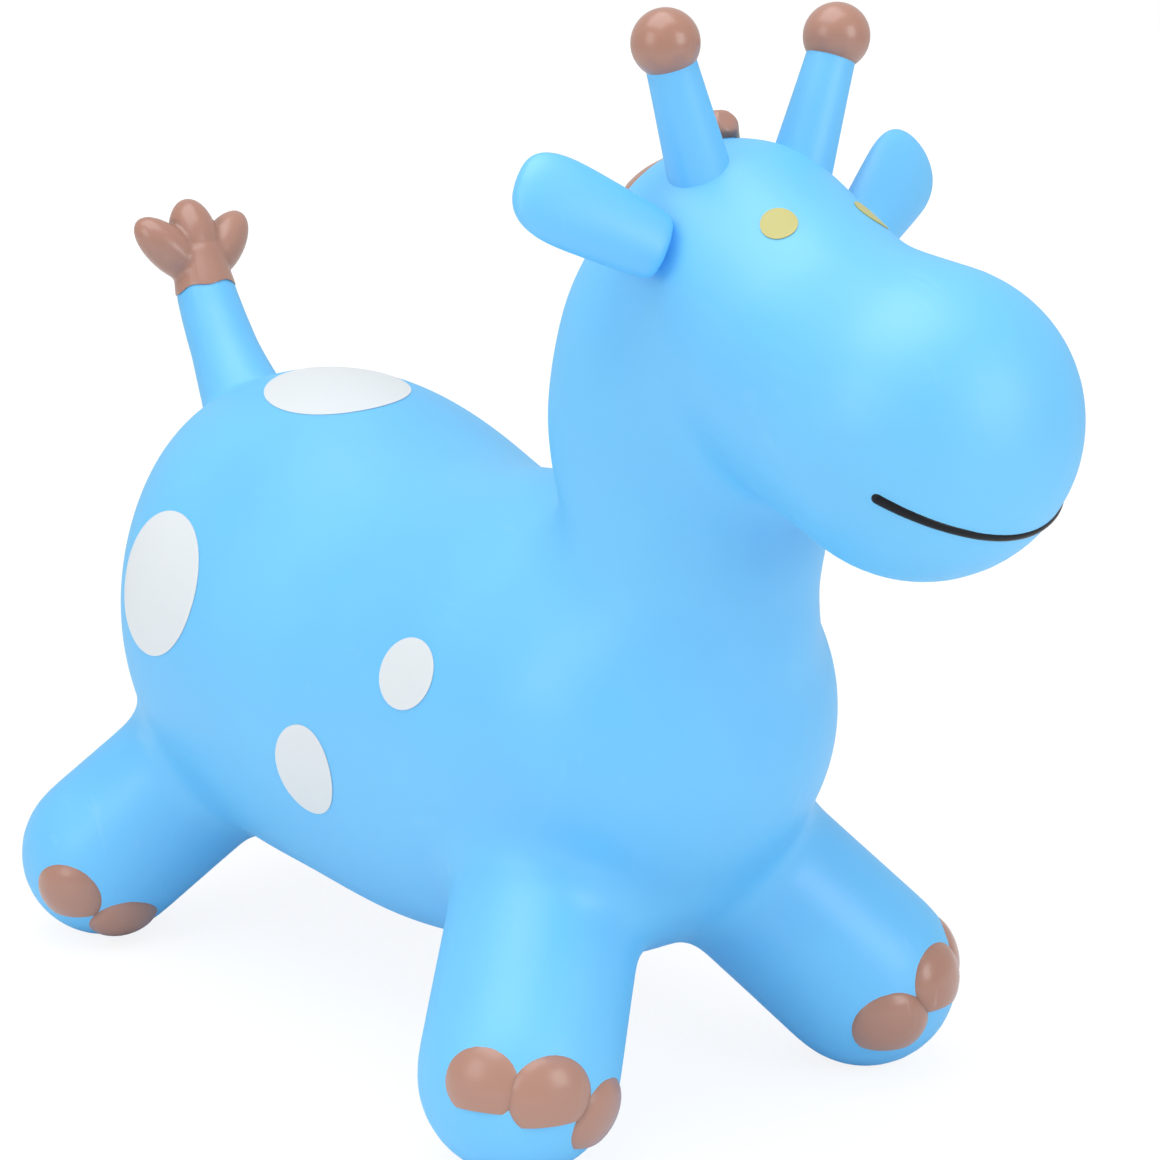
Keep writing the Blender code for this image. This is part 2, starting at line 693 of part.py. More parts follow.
def build_raised_paint(form, tuft, materials, parts, low):
    """Paint the toes, horn balls, mane and tuft."""
    brown = materials["brown"]
    high_gap = FIT_GAP + COAT_THICKNESS
    for name, side in SIDES:
        for end, foot, _ in foot_points(side):
            paint_toes(end, name, foot, side, low, brown, parts)
        coat_over("horn_ball_paint_" + name, horn_ball(side, high_gap), horn_ball(side, FIT_GAP),
                  [horn_stem(side, FIT_GAP)], brown, parts)
    middles = mane_line(form)
    mane_high = mane_crest(middles, high_gap)
    coat_over("mane_paint", mane_high, mane_crest(middles, FIT_GAP), [low], brown, parts)
    tuft_high = offset_form(tuft, "tuft_high", high_gap)
    tuft_low = offset_form(tuft, "tuft_low", FIT_GAP)
    coat_over("tail_tuft_paint", tuft_high, tuft_low, [tail_tube(FIT_GAP)], brown, parts)


def build_flat_paint(form, materials, parts, layers):
    """Paint the white spots, the eyes and the smile."""
    white = materials["white"]
    top = spot_mask(form, (BACK_SPOT_X, BACK_SPOT_Y, FAR_OUT), (0.0, 0.0, -1.0), (0.0, 1.0, 0.0),
                    BACK_SPOT_LENGTH, BACK_SPOT_WIDTH)
    coat_patch("back_spot", top, layers, white, parts)
    spots = (("rump_spot", RUMP_SPOT_X, RUMP_SPOT_Z, RUMP_SPOT_LENGTH, RUMP_SPOT_HEIGHT, RUMP_SPOT_LEAN),
             ("flank_spot", FLANK_SPOT_X, FLANK_SPOT_Z, FLANK_SPOT_LENGTH, FLANK_SPOT_HEIGHT, 0.0),
             ("low_spot", LOW_SPOT_X, LOW_SPOT_Z, LOW_SPOT_LENGTH, LOW_SPOT_HEIGHT, 0.0))
    for name, side in SIDES:
        for label, x, z, length, height, lean in spots:
            stamp = side_mask(form, side, x, z, length, height, lean)
            coat_patch(label + "_" + name, stamp, layers, white, parts)
        eye = side_mask(form, side, EYE_X, EYE_Z, EYE_LENGTH, EYE_HEIGHT)
        coat_patch("eye_" + name, eye, layers, materials["yellow"], parts)
    coat_patch("smile", smile_mask(form), layers, materials["black"], parts)


def centre_over_floor(parts):
    """Move every piece so that the middle of the hopper's length is at the origin."""
    reach = []
    for obj in parts.objects:
        reach.extend(obj.location.x + corner[0] for corner in obj.bound_box)
    middle = 0.5 * (min(reach) + max(reach))
    for obj in parts.objects:
        obj.location.x -= middle


def main():
    """Build the hopper."""
    for obj in list(bpy.data.objects):
        bpy.data.objects.remove(obj)
    parts = make_collection("animal_hopper")
    make_collection("shaping_tools")
    materials = {
        "blue": make_material("blue_vinyl", (0.23, 0.68, 0.99), 0.45),
        "brown": make_material("brown_paint", (0.41, 0.26, 0.20), 0.30),
        "white": make_material("white_paint", (0.85, 0.88, 0.91), 0.45),
        "yellow": make_material("yellow_paint", (0.71, 0.68, 0.28), 0.45),
        "black": make_material("black_paint", (0.03, 0.03, 0.035), 0.35),
        "bush": make_material("valve_bush_plastic", (0.70, 0.72, 0.74), 0.40),
        "plug": make_material("valve_plug_plastic", (0.80, 0.81, 0.82), 0.40),
    }
    form = smooth_form()
    belly, _ = surface_point(form, (VALVE_X, 0.0, -FAR_OUT), (0.0, 0.0, 1.0))
    paint_low = offset_form(form, "paint_low", FIT_GAP)
    paint_high = offset_form(form, "paint_high", FIT_GAP + COAT_THICKNESS)
    tuft = tuft_form()
    build_skin(form, tuft, materials["blue"], parts, belly.z)
    build_valve(materials, parts, belly.z)
    build_raised_paint(form, tuft, materials, parts, paint_low)
    build_flat_paint(form, materials, parts, (paint_low, paint_high))
    centre_over_floor(parts)


main()
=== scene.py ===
"""Dressed model of the animal hopper: a soft blue vinyl giraffe with sprayed paint and an air plug."""

from __future__ import annotations

import logging
import math
from contextlib import contextmanager
from dataclasses import dataclass, field, replace
from enum import Enum
from typing import Iterator, Sequence

import bpy
from mathutils import Matrix, Vector
from mathutils.bvhtree import BVHTree


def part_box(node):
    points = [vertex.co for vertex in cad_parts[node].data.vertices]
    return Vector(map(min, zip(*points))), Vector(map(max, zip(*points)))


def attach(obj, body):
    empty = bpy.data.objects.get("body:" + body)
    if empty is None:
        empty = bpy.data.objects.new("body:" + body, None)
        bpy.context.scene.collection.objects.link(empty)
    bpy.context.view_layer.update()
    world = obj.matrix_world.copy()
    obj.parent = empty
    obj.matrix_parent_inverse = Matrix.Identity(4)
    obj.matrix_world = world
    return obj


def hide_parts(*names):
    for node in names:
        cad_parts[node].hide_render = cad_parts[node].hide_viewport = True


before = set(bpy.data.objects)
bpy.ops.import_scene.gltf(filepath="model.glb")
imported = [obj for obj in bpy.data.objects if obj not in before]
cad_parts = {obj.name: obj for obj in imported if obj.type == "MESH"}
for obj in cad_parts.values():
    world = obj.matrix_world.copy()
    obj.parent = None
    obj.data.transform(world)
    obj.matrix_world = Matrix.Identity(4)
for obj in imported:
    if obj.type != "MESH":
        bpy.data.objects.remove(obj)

Shape = bpy.types.Object
Node = bpy.types.Node
Socket = bpy.types.NodeSocket

LOG = logging.getLogger("hopper")
UP = Vector((0.0, 0.0, 1.0))
FORWARD = Vector((1.0, 0.0, 0.0))
FAR_OUT = 1.0
FULL_RANGE = (0.0, 1.0)


class Side(Enum):
    """The animal's two sides."""

    RIGHT = -1.0
    LEFT = 1.0

    @property
    def label(self) -> str:
        """Return the side's name as it stands in a piece's name."""
        return self.name.lower()


class End(Enum):
    """The animal's two ends, as they stand in a piece's name."""

    FRONT = "front"
    REAR = "rear"


class Body(Enum):
    """The two bodies that pieces ride on."""

    HOPPER = "hopper"
    PLUG = "plug"


class Slot(Enum):
    """The material slots of the part."""

    VINYL = "blue_vinyl"
    BROWN = "brown_paint"
    WHITE = "white_paint"
    YELLOW = "yellow_paint"
    BLACK = "black_paint"
    BUSH = "valve_bush_plastic"
    PLUG = "valve_plug_plastic"


@dataclass(frozen=True)
class Station:
    """A place along a limb, with the limb's radius there."""

    x: float
    y: float
    z: float
    radius: float

    @property
    def point(self) -> Vector:
        """Return the place as a vector."""
        return Vector((self.x, self.y, self.z))

    def on(self, side: Side) -> Station:
        """Return the same place on one side of the animal."""
        return replace(self, y=side.value * self.y)


@dataclass(frozen=True)
class Section:
    """A cross-section of a drawn-out form: its height along the form, its size and its sideways shift."""

    height: float
    width: float
    depth: float
    shift: float = 0.0


@dataclass
class Piece:
    """A finished piece and what it stands for."""

    shape: Shape
    node: str
    slot: Slot
    body: Body = Body.HOPPER


def lean_frame(centre: Vector, along: Vector, across: Vector) -> Matrix:
    """Make a frame at a point with Z along one direction and X close to another.

    Args:
        centre: The frame's origin.
        along: The direction of its Z axis.
        across: A direction that its X axis stays close to.

    Returns:
        The frame as a matrix.
    """
    z_axis = along.normalized()
    y_axis = z_axis.cross(across).normalized()
    x_axis = y_axis.cross(z_axis)
    turn = Matrix((x_axis, y_axis, z_axis)).transposed().to_4x4()
    return Matrix.Translation(centre) @ turn


class Bench:
    """Modelling steps that the pieces share."""

    SOFTENING = 0.5
    TUBE_ROUNDNESS = 8
    CAGE_LEVELS = 3
    EDGE_SEGMENTS = 3
    EDGE_ANGLE = 0.6
    CUT_REACH = 0.000001
    MERGE_REACH = 0.00001
    SMOOTH_ANGLE = math.radians(40.0)

    @staticmethod
    def pick(*shapes: Shape) -> None:
        """Select these objects alone and make the first one active.

        Args:
            shapes: The objects; with none, everything is only deselected.
        """
        bpy.ops.object.select_all(action="DESELECT")
        for shape in shapes:
            shape.select_set(True)
        if shapes:
            bpy.context.view_layer.objects.active = shapes[0]

    @staticmethod
    def added(name: str) -> Shape:
        """Name the object that was just added and return it."""
        bpy.context.object.name = name
        return bpy.context.object

    @staticmethod
    @contextmanager
    def editing(shape: Shape, action: str = "SELECT") -> Iterator[None]:
        """Work on one object in edit mode.

        Args:
            shape: The object.
            action: What select_all does first.

        Yields:
            Nothing, with the object in edit mode.
        """
        Bench.pick(shape)
        bpy.ops.object.mode_set(mode="EDIT")
        bpy.ops.mesh.select_mode(type="VERT")
        bpy.ops.mesh.select_all(action=action)
        try:
            yield
        finally:
            bpy.ops.object.mode_set(mode="OBJECT")

    @staticmethod
    def settle(shape: Shape) -> Shape:
        """Put an object's place, turn and size into its mesh.

        Args:
            shape: The object.

        Returns:
            The object.
        """
        Bench.pick(shape)
        bpy.ops.object.transform_apply(location=True, rotation=True, scale=True)
        return shape

    @staticmethod
    def modify(shape: Shape, kind: str, **settings: object) -> Shape:
        """Add a modifier, set it and apply it.

        Args:
            shape: The object.
            kind: The modifier's type.
            settings: Its properties.

        Returns:
            The object.
        """
        Bench.pick(shape)
        modifier = shape.modifiers.new(kind.lower(), kind)
        for name, value in settings.items():
            setattr(modifier, name, value)
        bpy.ops.object.modifier_apply(modifier=modifier.name)
        return shape

    @staticmethod
    def subdivide(shape: Shape, levels: int) -> Shape:
        """Round a coarse cage off."""
        return Bench.modify(shape, "SUBSURF", levels=levels, render_levels=levels)

    @staticmethod
    def fuse(shape: Shape, voxel: float, passes: int) -> Shape:
        """Melt overlapping forms into one skin and soften it.

        Args:
            shape: The object that holds the forms.
            voxel: The size of the new faces.
            passes: How often the skin is softened.

        Returns:
            The object.
        """
        Bench.modify(shape, "REMESH", mode="VOXEL", voxel_size=voxel)
        return Bench.modify(shape, "SMOOTH", factor=Bench.SOFTENING, iterations=passes)

    @staticmethod
    def hollows(shape: Shape) -> list[int]:
        """List the points of a skin that lie below the mean of their neighbours.

        Args:
            shape: The object.

        Returns:
            The indices of the points.
        """
        points = shape.data.vertices
        pulls = [Vector() for _ in points]
        for edge in shape.data.edges:
            first, second = edge.vertices
            step = points[second].co - points[first].co
            pulls[first] += step
            pulls[second] -= step
        return [point.index for point, pull in zip(points, pulls) if pull.dot(point.normal) > 0.0]

    @staticmethod
    def fill_hollows(shape: Shape, rounds: int, passes: int) -> Shape:
        """Widen the hollow creases of a skin and leave its swellings as they are.

        Args:
            shape: The object.
            rounds: How often the hollows are found again.
            passes: How often they are softened each time.

        Returns:
            The object.
        """
        for _ in range(rounds):
            group = shape.vertex_groups.new(name="hollow")
            group.add(Bench.hollows(shape), 1.0, "REPLACE")
            Bench.modify(shape, "SMOOTH", factor=Bench.SOFTENING, iterations=passes, vertex_group=group.name)
            shape.vertex_groups.clear()
        return shape

    @staticmethod
    def join(name: str, shapes: Sequence[Shape]) -> Shape:
        """Put several forms into one object.

        Args:
            name: The object's name.
            shapes: The forms.

        Returns:
            The object.
        """
        Bench.pick(*shapes)
        bpy.ops.object.join()
        shapes[0].name = name
        return shapes[0]

    @staticmethod
    def clean(shape: Shape) -> Shape:
        """Merge doubled points and turn the faces outwards.

        Args:
            shape: The object.

        Returns:
            The object.
        """
        with Bench.editing(shape):
            bpy.ops.mesh.remove_doubles(threshold=Bench.MERGE_REACH)
            bpy.ops.mesh.normals_make_consistent(inside=False)
        return shape

    @staticmethod
    def ball(name: str, place: Matrix, radii: Sequence[float], segments: int = 48) -> Shape:
        """Make an egg-shaped form.

        Args:
            name: The object's name.
            place: The frame of its centre.
            radii: Its half sizes along the frame's axes.
            segments: Faces round it; there are half as many rings.

        Returns:
            The object.
        """
        Bench.pick()
        bpy.ops.mesh.primitive_uv_sphere_add(segments=segments, ring_count=segments // 2, radius=1.0)
        shape = Bench.added(name)
        shape.matrix_world = place @ Matrix.Diagonal((*radii, 1.0))
        return Bench.settle(shape)

    @staticmethod
    def tube(name: str, stations: Sequence[Station], steps: int = 10, round_ends: bool = False) -> Shape:
        """Make a tapering tube through stations.

        Args:
            name: The object's name.
            stations: The places that it passes through.
            steps: Steps between two stations.
            round_ends: Whether a ball closes each end.

        Returns:
            The object.
        """
        Bench.pick()
        bpy.ops.curve.primitive_bezier_curve_add()
        path = Bench.added(name)
        path.data.dimensions = "3D"
        path.data.bevel_depth = 1.0
        path.data.bevel_resolution = Bench.TUBE_ROUNDNESS
        path.data.resolution_u = steps
        path.data.use_fill_caps = True
        knots = path.data.splines[0].bezier_points
        knots.add(len(stations) - len(knots))
        for knot, station in zip(knots, stations):
            knot.co = station.point
            knot.radius = station.radius
            knot.handle_left_type = "AUTO"
            knot.handle_right_type = "AUTO"
        bpy.ops.object.convert(target="MESH")
        shape = Bench.clean(bpy.context.object)
        if not round_ends:
            return shape
        ends = [
            Bench.ball(name + "_end", Matrix.Translation(end.point), (end.radius,) * 3)
            for end in (stations[0], stations[-1])
        ]
        return Bench.join(name, [shape, *ends])

    @staticmethod
    def drawn(name: str, place: Matrix, sections: Sequence[Section], corners: int = 8) -> Shape:
        """Draw a rounded form out of a flat ring, section by section.

        Args:
            name: The object's name.
            place: The frame that the form stands in, along its Z axis.
            sections: The cross-sections, from the root up.
            corners: Corners of the coarse cage.

        Returns:
            The object.
        """
        # Subdividing draws a ring in from its corners, so the cage is wider by that share.
        swell = 3.0 / (2.0 + math.cos(2.0 * math.pi / corners))
        first = sections[0]
        Bench.pick()
        bpy.ops.mesh.primitive_circle_add(
            vertices=corners, radius=0.5 * swell, fill_type="NGON", location=(first.shift, 0.0, first.height)
        )
        shape = Bench.added(name)
        shape.scale = (first.width, first.depth, 1.0)
        Bench.settle(shape)
        with Bench.editing(shape):
            for low, high in zip(sections, sections[1:]):
                move = (high.shift - low.shift, 0.0, high.height - low.height)
                bpy.ops.mesh.extrude_region_move(TRANSFORM_OT_translate={"value": move})
                bpy.ops.transform.resize(
                    value=(high.width / low.width, high.depth / low.depth, 1.0),
                    center_override=(high.shift, 0.0, high.height),
                )
            bpy.ops.mesh.select_all(action="SELECT")
            bpy.ops.mesh.normals_make_consistent(inside=False)
        Bench.subdivide(shape, Bench.CAGE_LEVELS)
        shape.matrix_world = place
        return Bench.settle(shape)

    @staticmethod
    def disc(name: str, rim: int = 96, rings: int = 12) -> Shape:
        """Make a flat disc of rings, one metre in radius, that faces up.

        Args:
            name: The object's name.
            rim: Points round it.
            rings: Rings from its middle to its rim.

        Returns:
            The object.
        """
        Bench.pick()
        bpy.ops.mesh.primitive_circle_add(vertices=rim, radius=1.0, fill_type="NOTHING")
        shape = Bench.added(name)
        with Bench.editing(shape):
            for ring in range(rings, 1, -1):
                share = (ring - 1) / ring
                bpy.ops.mesh.extrude_region_move()
                bpy.ops.transform.resize(value=(share, share, 1.0), center_override=(0.0, 0.0, 0.0))
            bpy.ops.mesh.extrude_region_move()
            bpy.ops.mesh.merge(type="CENTER")
            bpy.ops.mesh.select_all(action="SELECT")
            bpy.ops.mesh.normals_make_consistent(inside=False)
        if shape.data.polygons[0].normal.z < 0.0:
            with Bench.editing(shape):
                bpy.ops.mesh.flip_normals()
        return shape

    @staticmethod
    def spun(name: str, profile: Sequence[tuple[float, float]], edge: float, steps: int = 64) -> Shape:
        """Spin a profile of radius and height pairs about the Z axis.

        Args:
            name: The object's name.
            profile: The corners of the profile, which is closed unless it starts on the axis.
            edge: The radius of its rounded edges.
            steps: Faces round it.

        Returns:
            The object.
        """
        Bench.pick()
        bpy.ops.curve.primitive_bezier_curve_add()
        path = Bench.added(name)
        spline = path.data.splines[0]
        spline.type = "POLY"
        spline.points.add(len(profile) - len(spline.points))
        for knot, (radius, height) in zip(spline.points, profile):
            knot.co = (radius, 0.0, height, 1.0)
        path.data.dimensions = "3D"
        spline.use_cyclic_u = profile[0][0] > 0.0
        bpy.ops.object.convert(target="MESH")
        shape = bpy.context.object
        with Bench.editing(shape):
            bpy.ops.mesh.spin(steps=steps, angle=2.0 * math.pi, center=(0.0, 0.0, 0.0), axis=UP)
        Bench.clean(shape)
        return Bench.modify(
            shape,
            "BEVEL",
            width=edge,
            segments=Bench.EDGE_SEGMENTS,
            limit_method="ANGLE",
            angle_limit=Bench.EDGE_ANGLE,
        )

    @staticmethod
    def slice_off(shape: Shape, point: Vector, keep: Vector, fill: bool) -> Shape:
        """Cut a form at a plane and drop one half.

        Args:
            shape: The object.
            point: A point of the plane.
            keep: The direction of the half that stays.
            fill: Whether the cut is closed with a face.

        Returns:
            The object.
        """
        with Bench.editing(shape):
            bpy.ops.mesh.bisect(
                plane_co=point, plane_no=keep, use_fill=fill, clear_inner=True, threshold=Bench.CUT_REACH
            )
        return shape

    @staticmethod
    def combine(shape: Shape, other: Shape, operation: str) -> Shape:
        """Combine a form with another one, which is used up.

        Args:
            shape: The form that stays.
            other: The other form.
            operation: How they are combined.

        Returns:
            The form.
        """
        Bench.modify(shape, "BOOLEAN", operation=operation, solver="MANIFOLD", object=other)
        bpy.data.objects.remove(other)
        return shape

    @staticmethod
    def unite(shape: Shape, other: Shape) -> Shape:
        """Join another form on with a crisp crease."""
        return Bench.combine(shape, other, "UNION")

    @staticmethod
    def cut(shape: Shape, cutter: Shape) -> Shape:
        """Take one form out of another."""
        return Bench.combine(shape, cutter, "DIFFERENCE")

    @staticmethod
    def thicken(shape: Shape, thickness: float, outwards: bool) -> Shape:
        """Give an open sheet a thickness and a closed rim."""
        offset = 1.0 if outwards else -1.0
        return Bench.modify(shape, "SOLIDIFY", thickness=thickness, offset=offset, use_even_offset=True)

    @staticmethod
    def smooth(shape: Shape, angle: float = SMOOTH_ANGLE) -> Shape:
        """Shade a form smooth, apart from its sharp edges.

        Args:
            shape: The object.
            angle: The angle from which an edge is sharp.

        Returns:
            The object.
        """
        Bench.pick(shape)
        bpy.ops.object.shade_smooth_by_angle(angle=angle)
        return shape


class Ground:
    """The surface of a form, for finding places on it."""

    def __init__(self, shape: Shape) -> None:
        """Remember the surface as it is now."""
        self.tree = BVHTree.FromObject(shape, bpy.context.evaluated_depsgraph_get())

    def hit(self, start: Vector, way: Vector) -> tuple[Vector, Vector]:
        """Find where a straight line first meets the surface.

        Args:
            start: Where the line starts.
            way: Its direction.

        Returns:
            The point and the direction that the surface faces there.
        """
        point, normal, _, _ = self.tree.ray_cast(start, way)
        return point, normal

    def depth(self, point: Vector) -> float:
        """Return how deep a point lies under the surface, negative outside."""
        near, normal, _, _ = self.tree.find_nearest(point)
        return (near - point).dot(normal)

    def bare(self, shape: Shape, limit: float) -> Shape:
        """Drop the part of a form that lies deeper than a limit under the surface.

        Args:
            shape: The form.
            limit: The depth.

        Returns:
            The form, open where it was cut.
        """
        # Nothing is selected at first, so that only the points picked below are deleted.
        with Bench.editing(shape, "DESELECT"):
            pass
        for vertex in shape.data.vertices:
            vertex.select = self.depth(vertex.co) > limit
        Bench.pick(shape)
        bpy.ops.object.mode_set(mode="EDIT")
        bpy.ops.mesh.delete(type="VERT")
        bpy.ops.object.mode_set(mode="OBJECT")
        return shape


@dataclass
class CoatMake:
    """How a coat of paint is laid on the skin."""

    lift: float = 0.00045
    thickness: float = 0.00035
    bury: float = 0.0009
    flat_lift: float = 0.00012

    def over(self, shape: Shape, skin: Ground) -> Shape:
        """Turn a swollen copy of a raised detail into a thin coat over it."""
        skin.bare(shape, self.bury)
        return Bench.smooth(Bench.thicken(shape, self.thickness, False))


@dataclass
class SoftBody:
    """Torso, neck, head and legs, blended into one blown-up form."""

    torso: tuple[Section, ...] = (
        Section(-0.296, 0.024, 0.022, 0.172),
        Section(-0.290, 0.070, 0.060, 0.172),
        Section(-0.271, 0.147, 0.119, 0.173),
        Section(-0.237, 0.202, 0.156, 0.171),
        Section(-0.196, 0.231, 0.215, 0.170),
        Section(-0.150, 0.250, 0.221, 0.166),
        Section(-0.095, 0.236, 0.214, 0.160),
        Section(-0.040, 0.223, 0.195, 0.146),
        Section(0.016, 0.223, 0.194, 0.157),
        Section(0.077, 0.214, 0.190, 0.161),
        Section(0.112, 0.181, 0.160, 0.160),
        Section(0.145, 0.108, 0.096, 0.160),
        Section(0.152, 0.030, 0.026, 0.160),
    )
    neck: tuple[Station, ...] = (
        Station(0.0795, 0.0, 0.172, 0.0905),
        Station(0.1210, 0.0, 0.245, 0.0540),
        Station(0.1220, 0.0, 0.305, 0.0625),
        Station(0.1315, 0.0, 0.340, 0.0622),
    )
    crown: Station = Station(0.147, 0.0, 0.366, 0.057)
    muzzle: tuple[Station, ...] = (
        Station(0.203, 0.0, 0.3378, 0.0562),
        Station(0.2580, 0.0, 0.3235, 0.0612),
    )
    front_hip: Station = Station(0.081, 0.0436, 0.106, 0.0424)
    front_foot: Station = Station(0.1282, 0.096, 0.0412, 0.0432)
    rear_hip: Station = Station(-0.193, 0.040, 0.1005, 0.0430)
    rear_foot: Station = Station(-0.228, 0.100, 0.0412, 0.0432)
    voxel: float = 0.005
    passes: int = 16
    fill_rounds: int = 6
    fill_passes: int = 5

    def foot(self, end: End, side: Side) -> Vector:
        """Return the centre of a foot."""
        foot = self.front_foot if end is End.FRONT else self.rear_foot
        return foot.on(side).point

    def leg(self, hip: Station, foot: Station, side: Side) -> Shape:
        """Make one leg."""
        return Bench.tube("leg_form", [hip.on(side), foot.on(side)], round_ends=True)

    def build(self) -> Shape:
        """Make the blended form.

        Returns:
            The form.
        """
        limbs = [Bench.drawn("torso_form", lean_frame(Vector(), FORWARD, UP), self.torso)]
        limbs.append(Bench.tube("neck_form", [*self.neck, self.crown], round_ends=True))
        limbs.append(Bench.tube("head_form", [self.crown, *self.muzzle], round_ends=True))
        for side in Side:
            limbs.append(self.leg(self.front_hip, self.front_foot, side))
            limbs.append(self.leg(self.rear_hip, self.rear_foot, side))
        form = Bench.join("body_form", limbs)
        Bench.fuse(form, self.voxel, self.passes)
        Bench.fill_hollows(form, self.fill_rounds, self.fill_passes)
        return Bench.subdivide(form, 1)


@dataclass
class Toe:
    """One rounded toe, with a straight lower edge; turn and pitch are in degrees."""

    label: str
    turn: float
    pitch: float
    reach: float = 0.0345
    width: float = 0.0366
    height: float = 0.0346
    depth: float = 0.0208
    hem: float = -0.0110

    def shape(self, foot: Vector, side: Side, grow: float, fill: bool) -> Shape:
        """Make the toe on a foot.

        Args:
            foot: The centre of the foot.
            side: The animal's side.
            grow: How much larger than the toe the form is.
            fill: Whether the lower edge is closed.

        Returns:
            The form.
        """
        turn, pitch = math.radians(self.turn), math.radians(self.pitch)
        level = Vector((math.cos(turn), side.value * math.sin(turn), 0.0))
        out = level * math.cos(pitch) - UP * math.sin(pitch)
        upright = level * math.sin(pitch) + UP * math.cos(pitch)
        centre = foot + out * self.reach
        radii = (0.5 * self.depth + grow, 0.5 * self.width + grow, 0.5 * self.height + grow)
        shape = Bench.ball("toe_form", lean_frame(centre, upright, out), radii)
        return Bench.slice_off(shape, centre + upright * (self.hem - grow), upright, fill)


@dataclass
class Feet:
    """The toes of the four feet."""

    front: tuple[Toe, ...] = (
        Toe("outer", 58.5, -16.0, reach=0.0330),
        Toe("middle", 16.0, -8.0),
        Toe("inner", -23.5, 15.5),
    )
    rear: tuple[Toe, ...] = (Toe("outer", 57.0, 15.0), Toe("inner", 11.0, 43.0, hem=-0.0140))

    def rows(self, body: SoftBody) -> Iterator[tuple[End, Side, Vector, Toe]]:
        """List every toe.

        Args:
            body: The form that the feet belong to.

        Yields:
            The toe's end, its side, its foot's centre and the toe.
        """
        for side in Side:
            for end, toes in ((End.FRONT, self.front), (End.REAR, self.rear)):
                for toe in toes:
                    yield end, side, body.foot(end, side), toe

    def shapes(self, body: SoftBody) -> list[Shape]:
        """Make all toes as part of the moulding."""
        return [toe.shape(foot, side, 0.0, True) for _, side, foot, toe in self.rows(body)]

    def coats(self, body: SoftBody, skin: Ground, make: CoatMake) -> list[Piece]:
        """Paint all toes.

        Args:
            body: The form that the feet belong to.
            skin: The skin's surface.
            make: How the coats are laid.

        Returns:
            The finished pieces.
        """
        pieces = []
        for end, side, foot, toe in self.rows(body):
            shape = make.over(toe.shape(foot, side, make.lift, False), skin)
            label = f"{end.value}_{side.label}_{toe.label}_toe"
            shape.name = label + "_coat"
            pieces.append(Piece(shape, label + "_paint", Slot.BROWN))
        return pieces


@dataclass
class Horn:
    """A horn with a ball on its end."""

    x: float = 0.1555
    root_y: float = 0.0222
    root_z: float = 0.398
    ball_y: float = 0.0437
    ball_z: float = 0.4608
    ball_radius: float = 0.0131
    coat_segments: int = 64
    stem: tuple[Section, ...] = (
        Section(-0.012, 0.0258, 0.0258),
        Section(0.000, 0.0272, 0.0272),
        Section(0.010, 0.0262, 0.0262),
        Section(0.036, 0.0226, 0.0226),
        Section(0.058, 0.0200, 0.0200),
        Section(0.070, 0.0190, 0.0190),
    )

    def frame(self, side: Side) -> tuple[Matrix, Vector]:
        """Find the horn's place.

        Args:
            side: The animal's side.

        Returns:
            The horn's frame at its root, and the centre of its ball.
        """
        root = Vector((self.x, side.value * self.root_y, self.root_z))
        top = Vector((self.x, side.value * self.ball_y, self.ball_z))
        return lean_frame(root, top - root, FORWARD), top

    def shape(self, side: Side) -> Shape:
        """Make the stem and the ball.

        Args:
            side: The animal's side.

        Returns:
            The form.
        """
        place, top = self.frame(side)
        ball = Bench.ball("horn_ball_form", Matrix.Translation(top), (self.ball_radius,) * 3)
        return Bench.unite(Bench.drawn("horn_stem_form", place, self.stem), ball)

    def coat(self, side: Side, skin: Ground, make: CoatMake) -> Piece:
        """Paint the ball.

        Args:
            side: The animal's side.
            skin: The skin's surface.
            make: How the coat is laid.

        Returns:
            The finished piece.
        """
        place, top = self.frame(side)
        upright = Matrix.Translation(top) @ place.to_3x3().to_4x4()
        radii = (self.ball_radius + make.lift,) * 3
        ball = Bench.ball("horn_ball_coat_" + side.label, upright, radii, self.coat_segments)
        return Piece(make.over(ball, skin), "horn_ball_paint_" + side.label, Slot.BROWN)


@dataclass
class Ear:
    """A thick ear with a blunt tip and a blunt end that stands off the cheek."""

    root: Vector = field(default_factory=lambda: Vector((0.1684, 0.0432, 0.3796)))
    tip: Vector = field(default_factory=lambda: Vector((0.1405, 0.1035, 0.4100)))
    lean_back: float = 0.42
    sections: tuple[Section, ...] = (
        Section(0.0090, 0.0230, 0.0150, -0.0006),
        Section(0.0122, 0.0285, 0.0190, -0.0006),
        Section(0.0260, 0.0312, 0.0200, -0.0004),
        Section(0.0430, 0.0345, 0.0195, 0.0),
        Section(0.0570, 0.0366, 0.0178, 0.0003),
        Section(0.0685, 0.0306, 0.0140, 0.0009),
        Section(0.0737, 0.0145, 0.0068, 0.0012),
    )

    def shape(self, side: Side) -> Shape:
        """Make the ear.

        Args:
            side: The animal's side.

        Returns:
            The form.
        """
        flip = Vector((1.0, side.value, 1.0))
        root, tip = self.root * flip, self.tip * flip
        place = lean_frame(root, tip - root, UP - FORWARD * self.lean_back)
        return Bench.drawn("ear_form", place, self.sections)


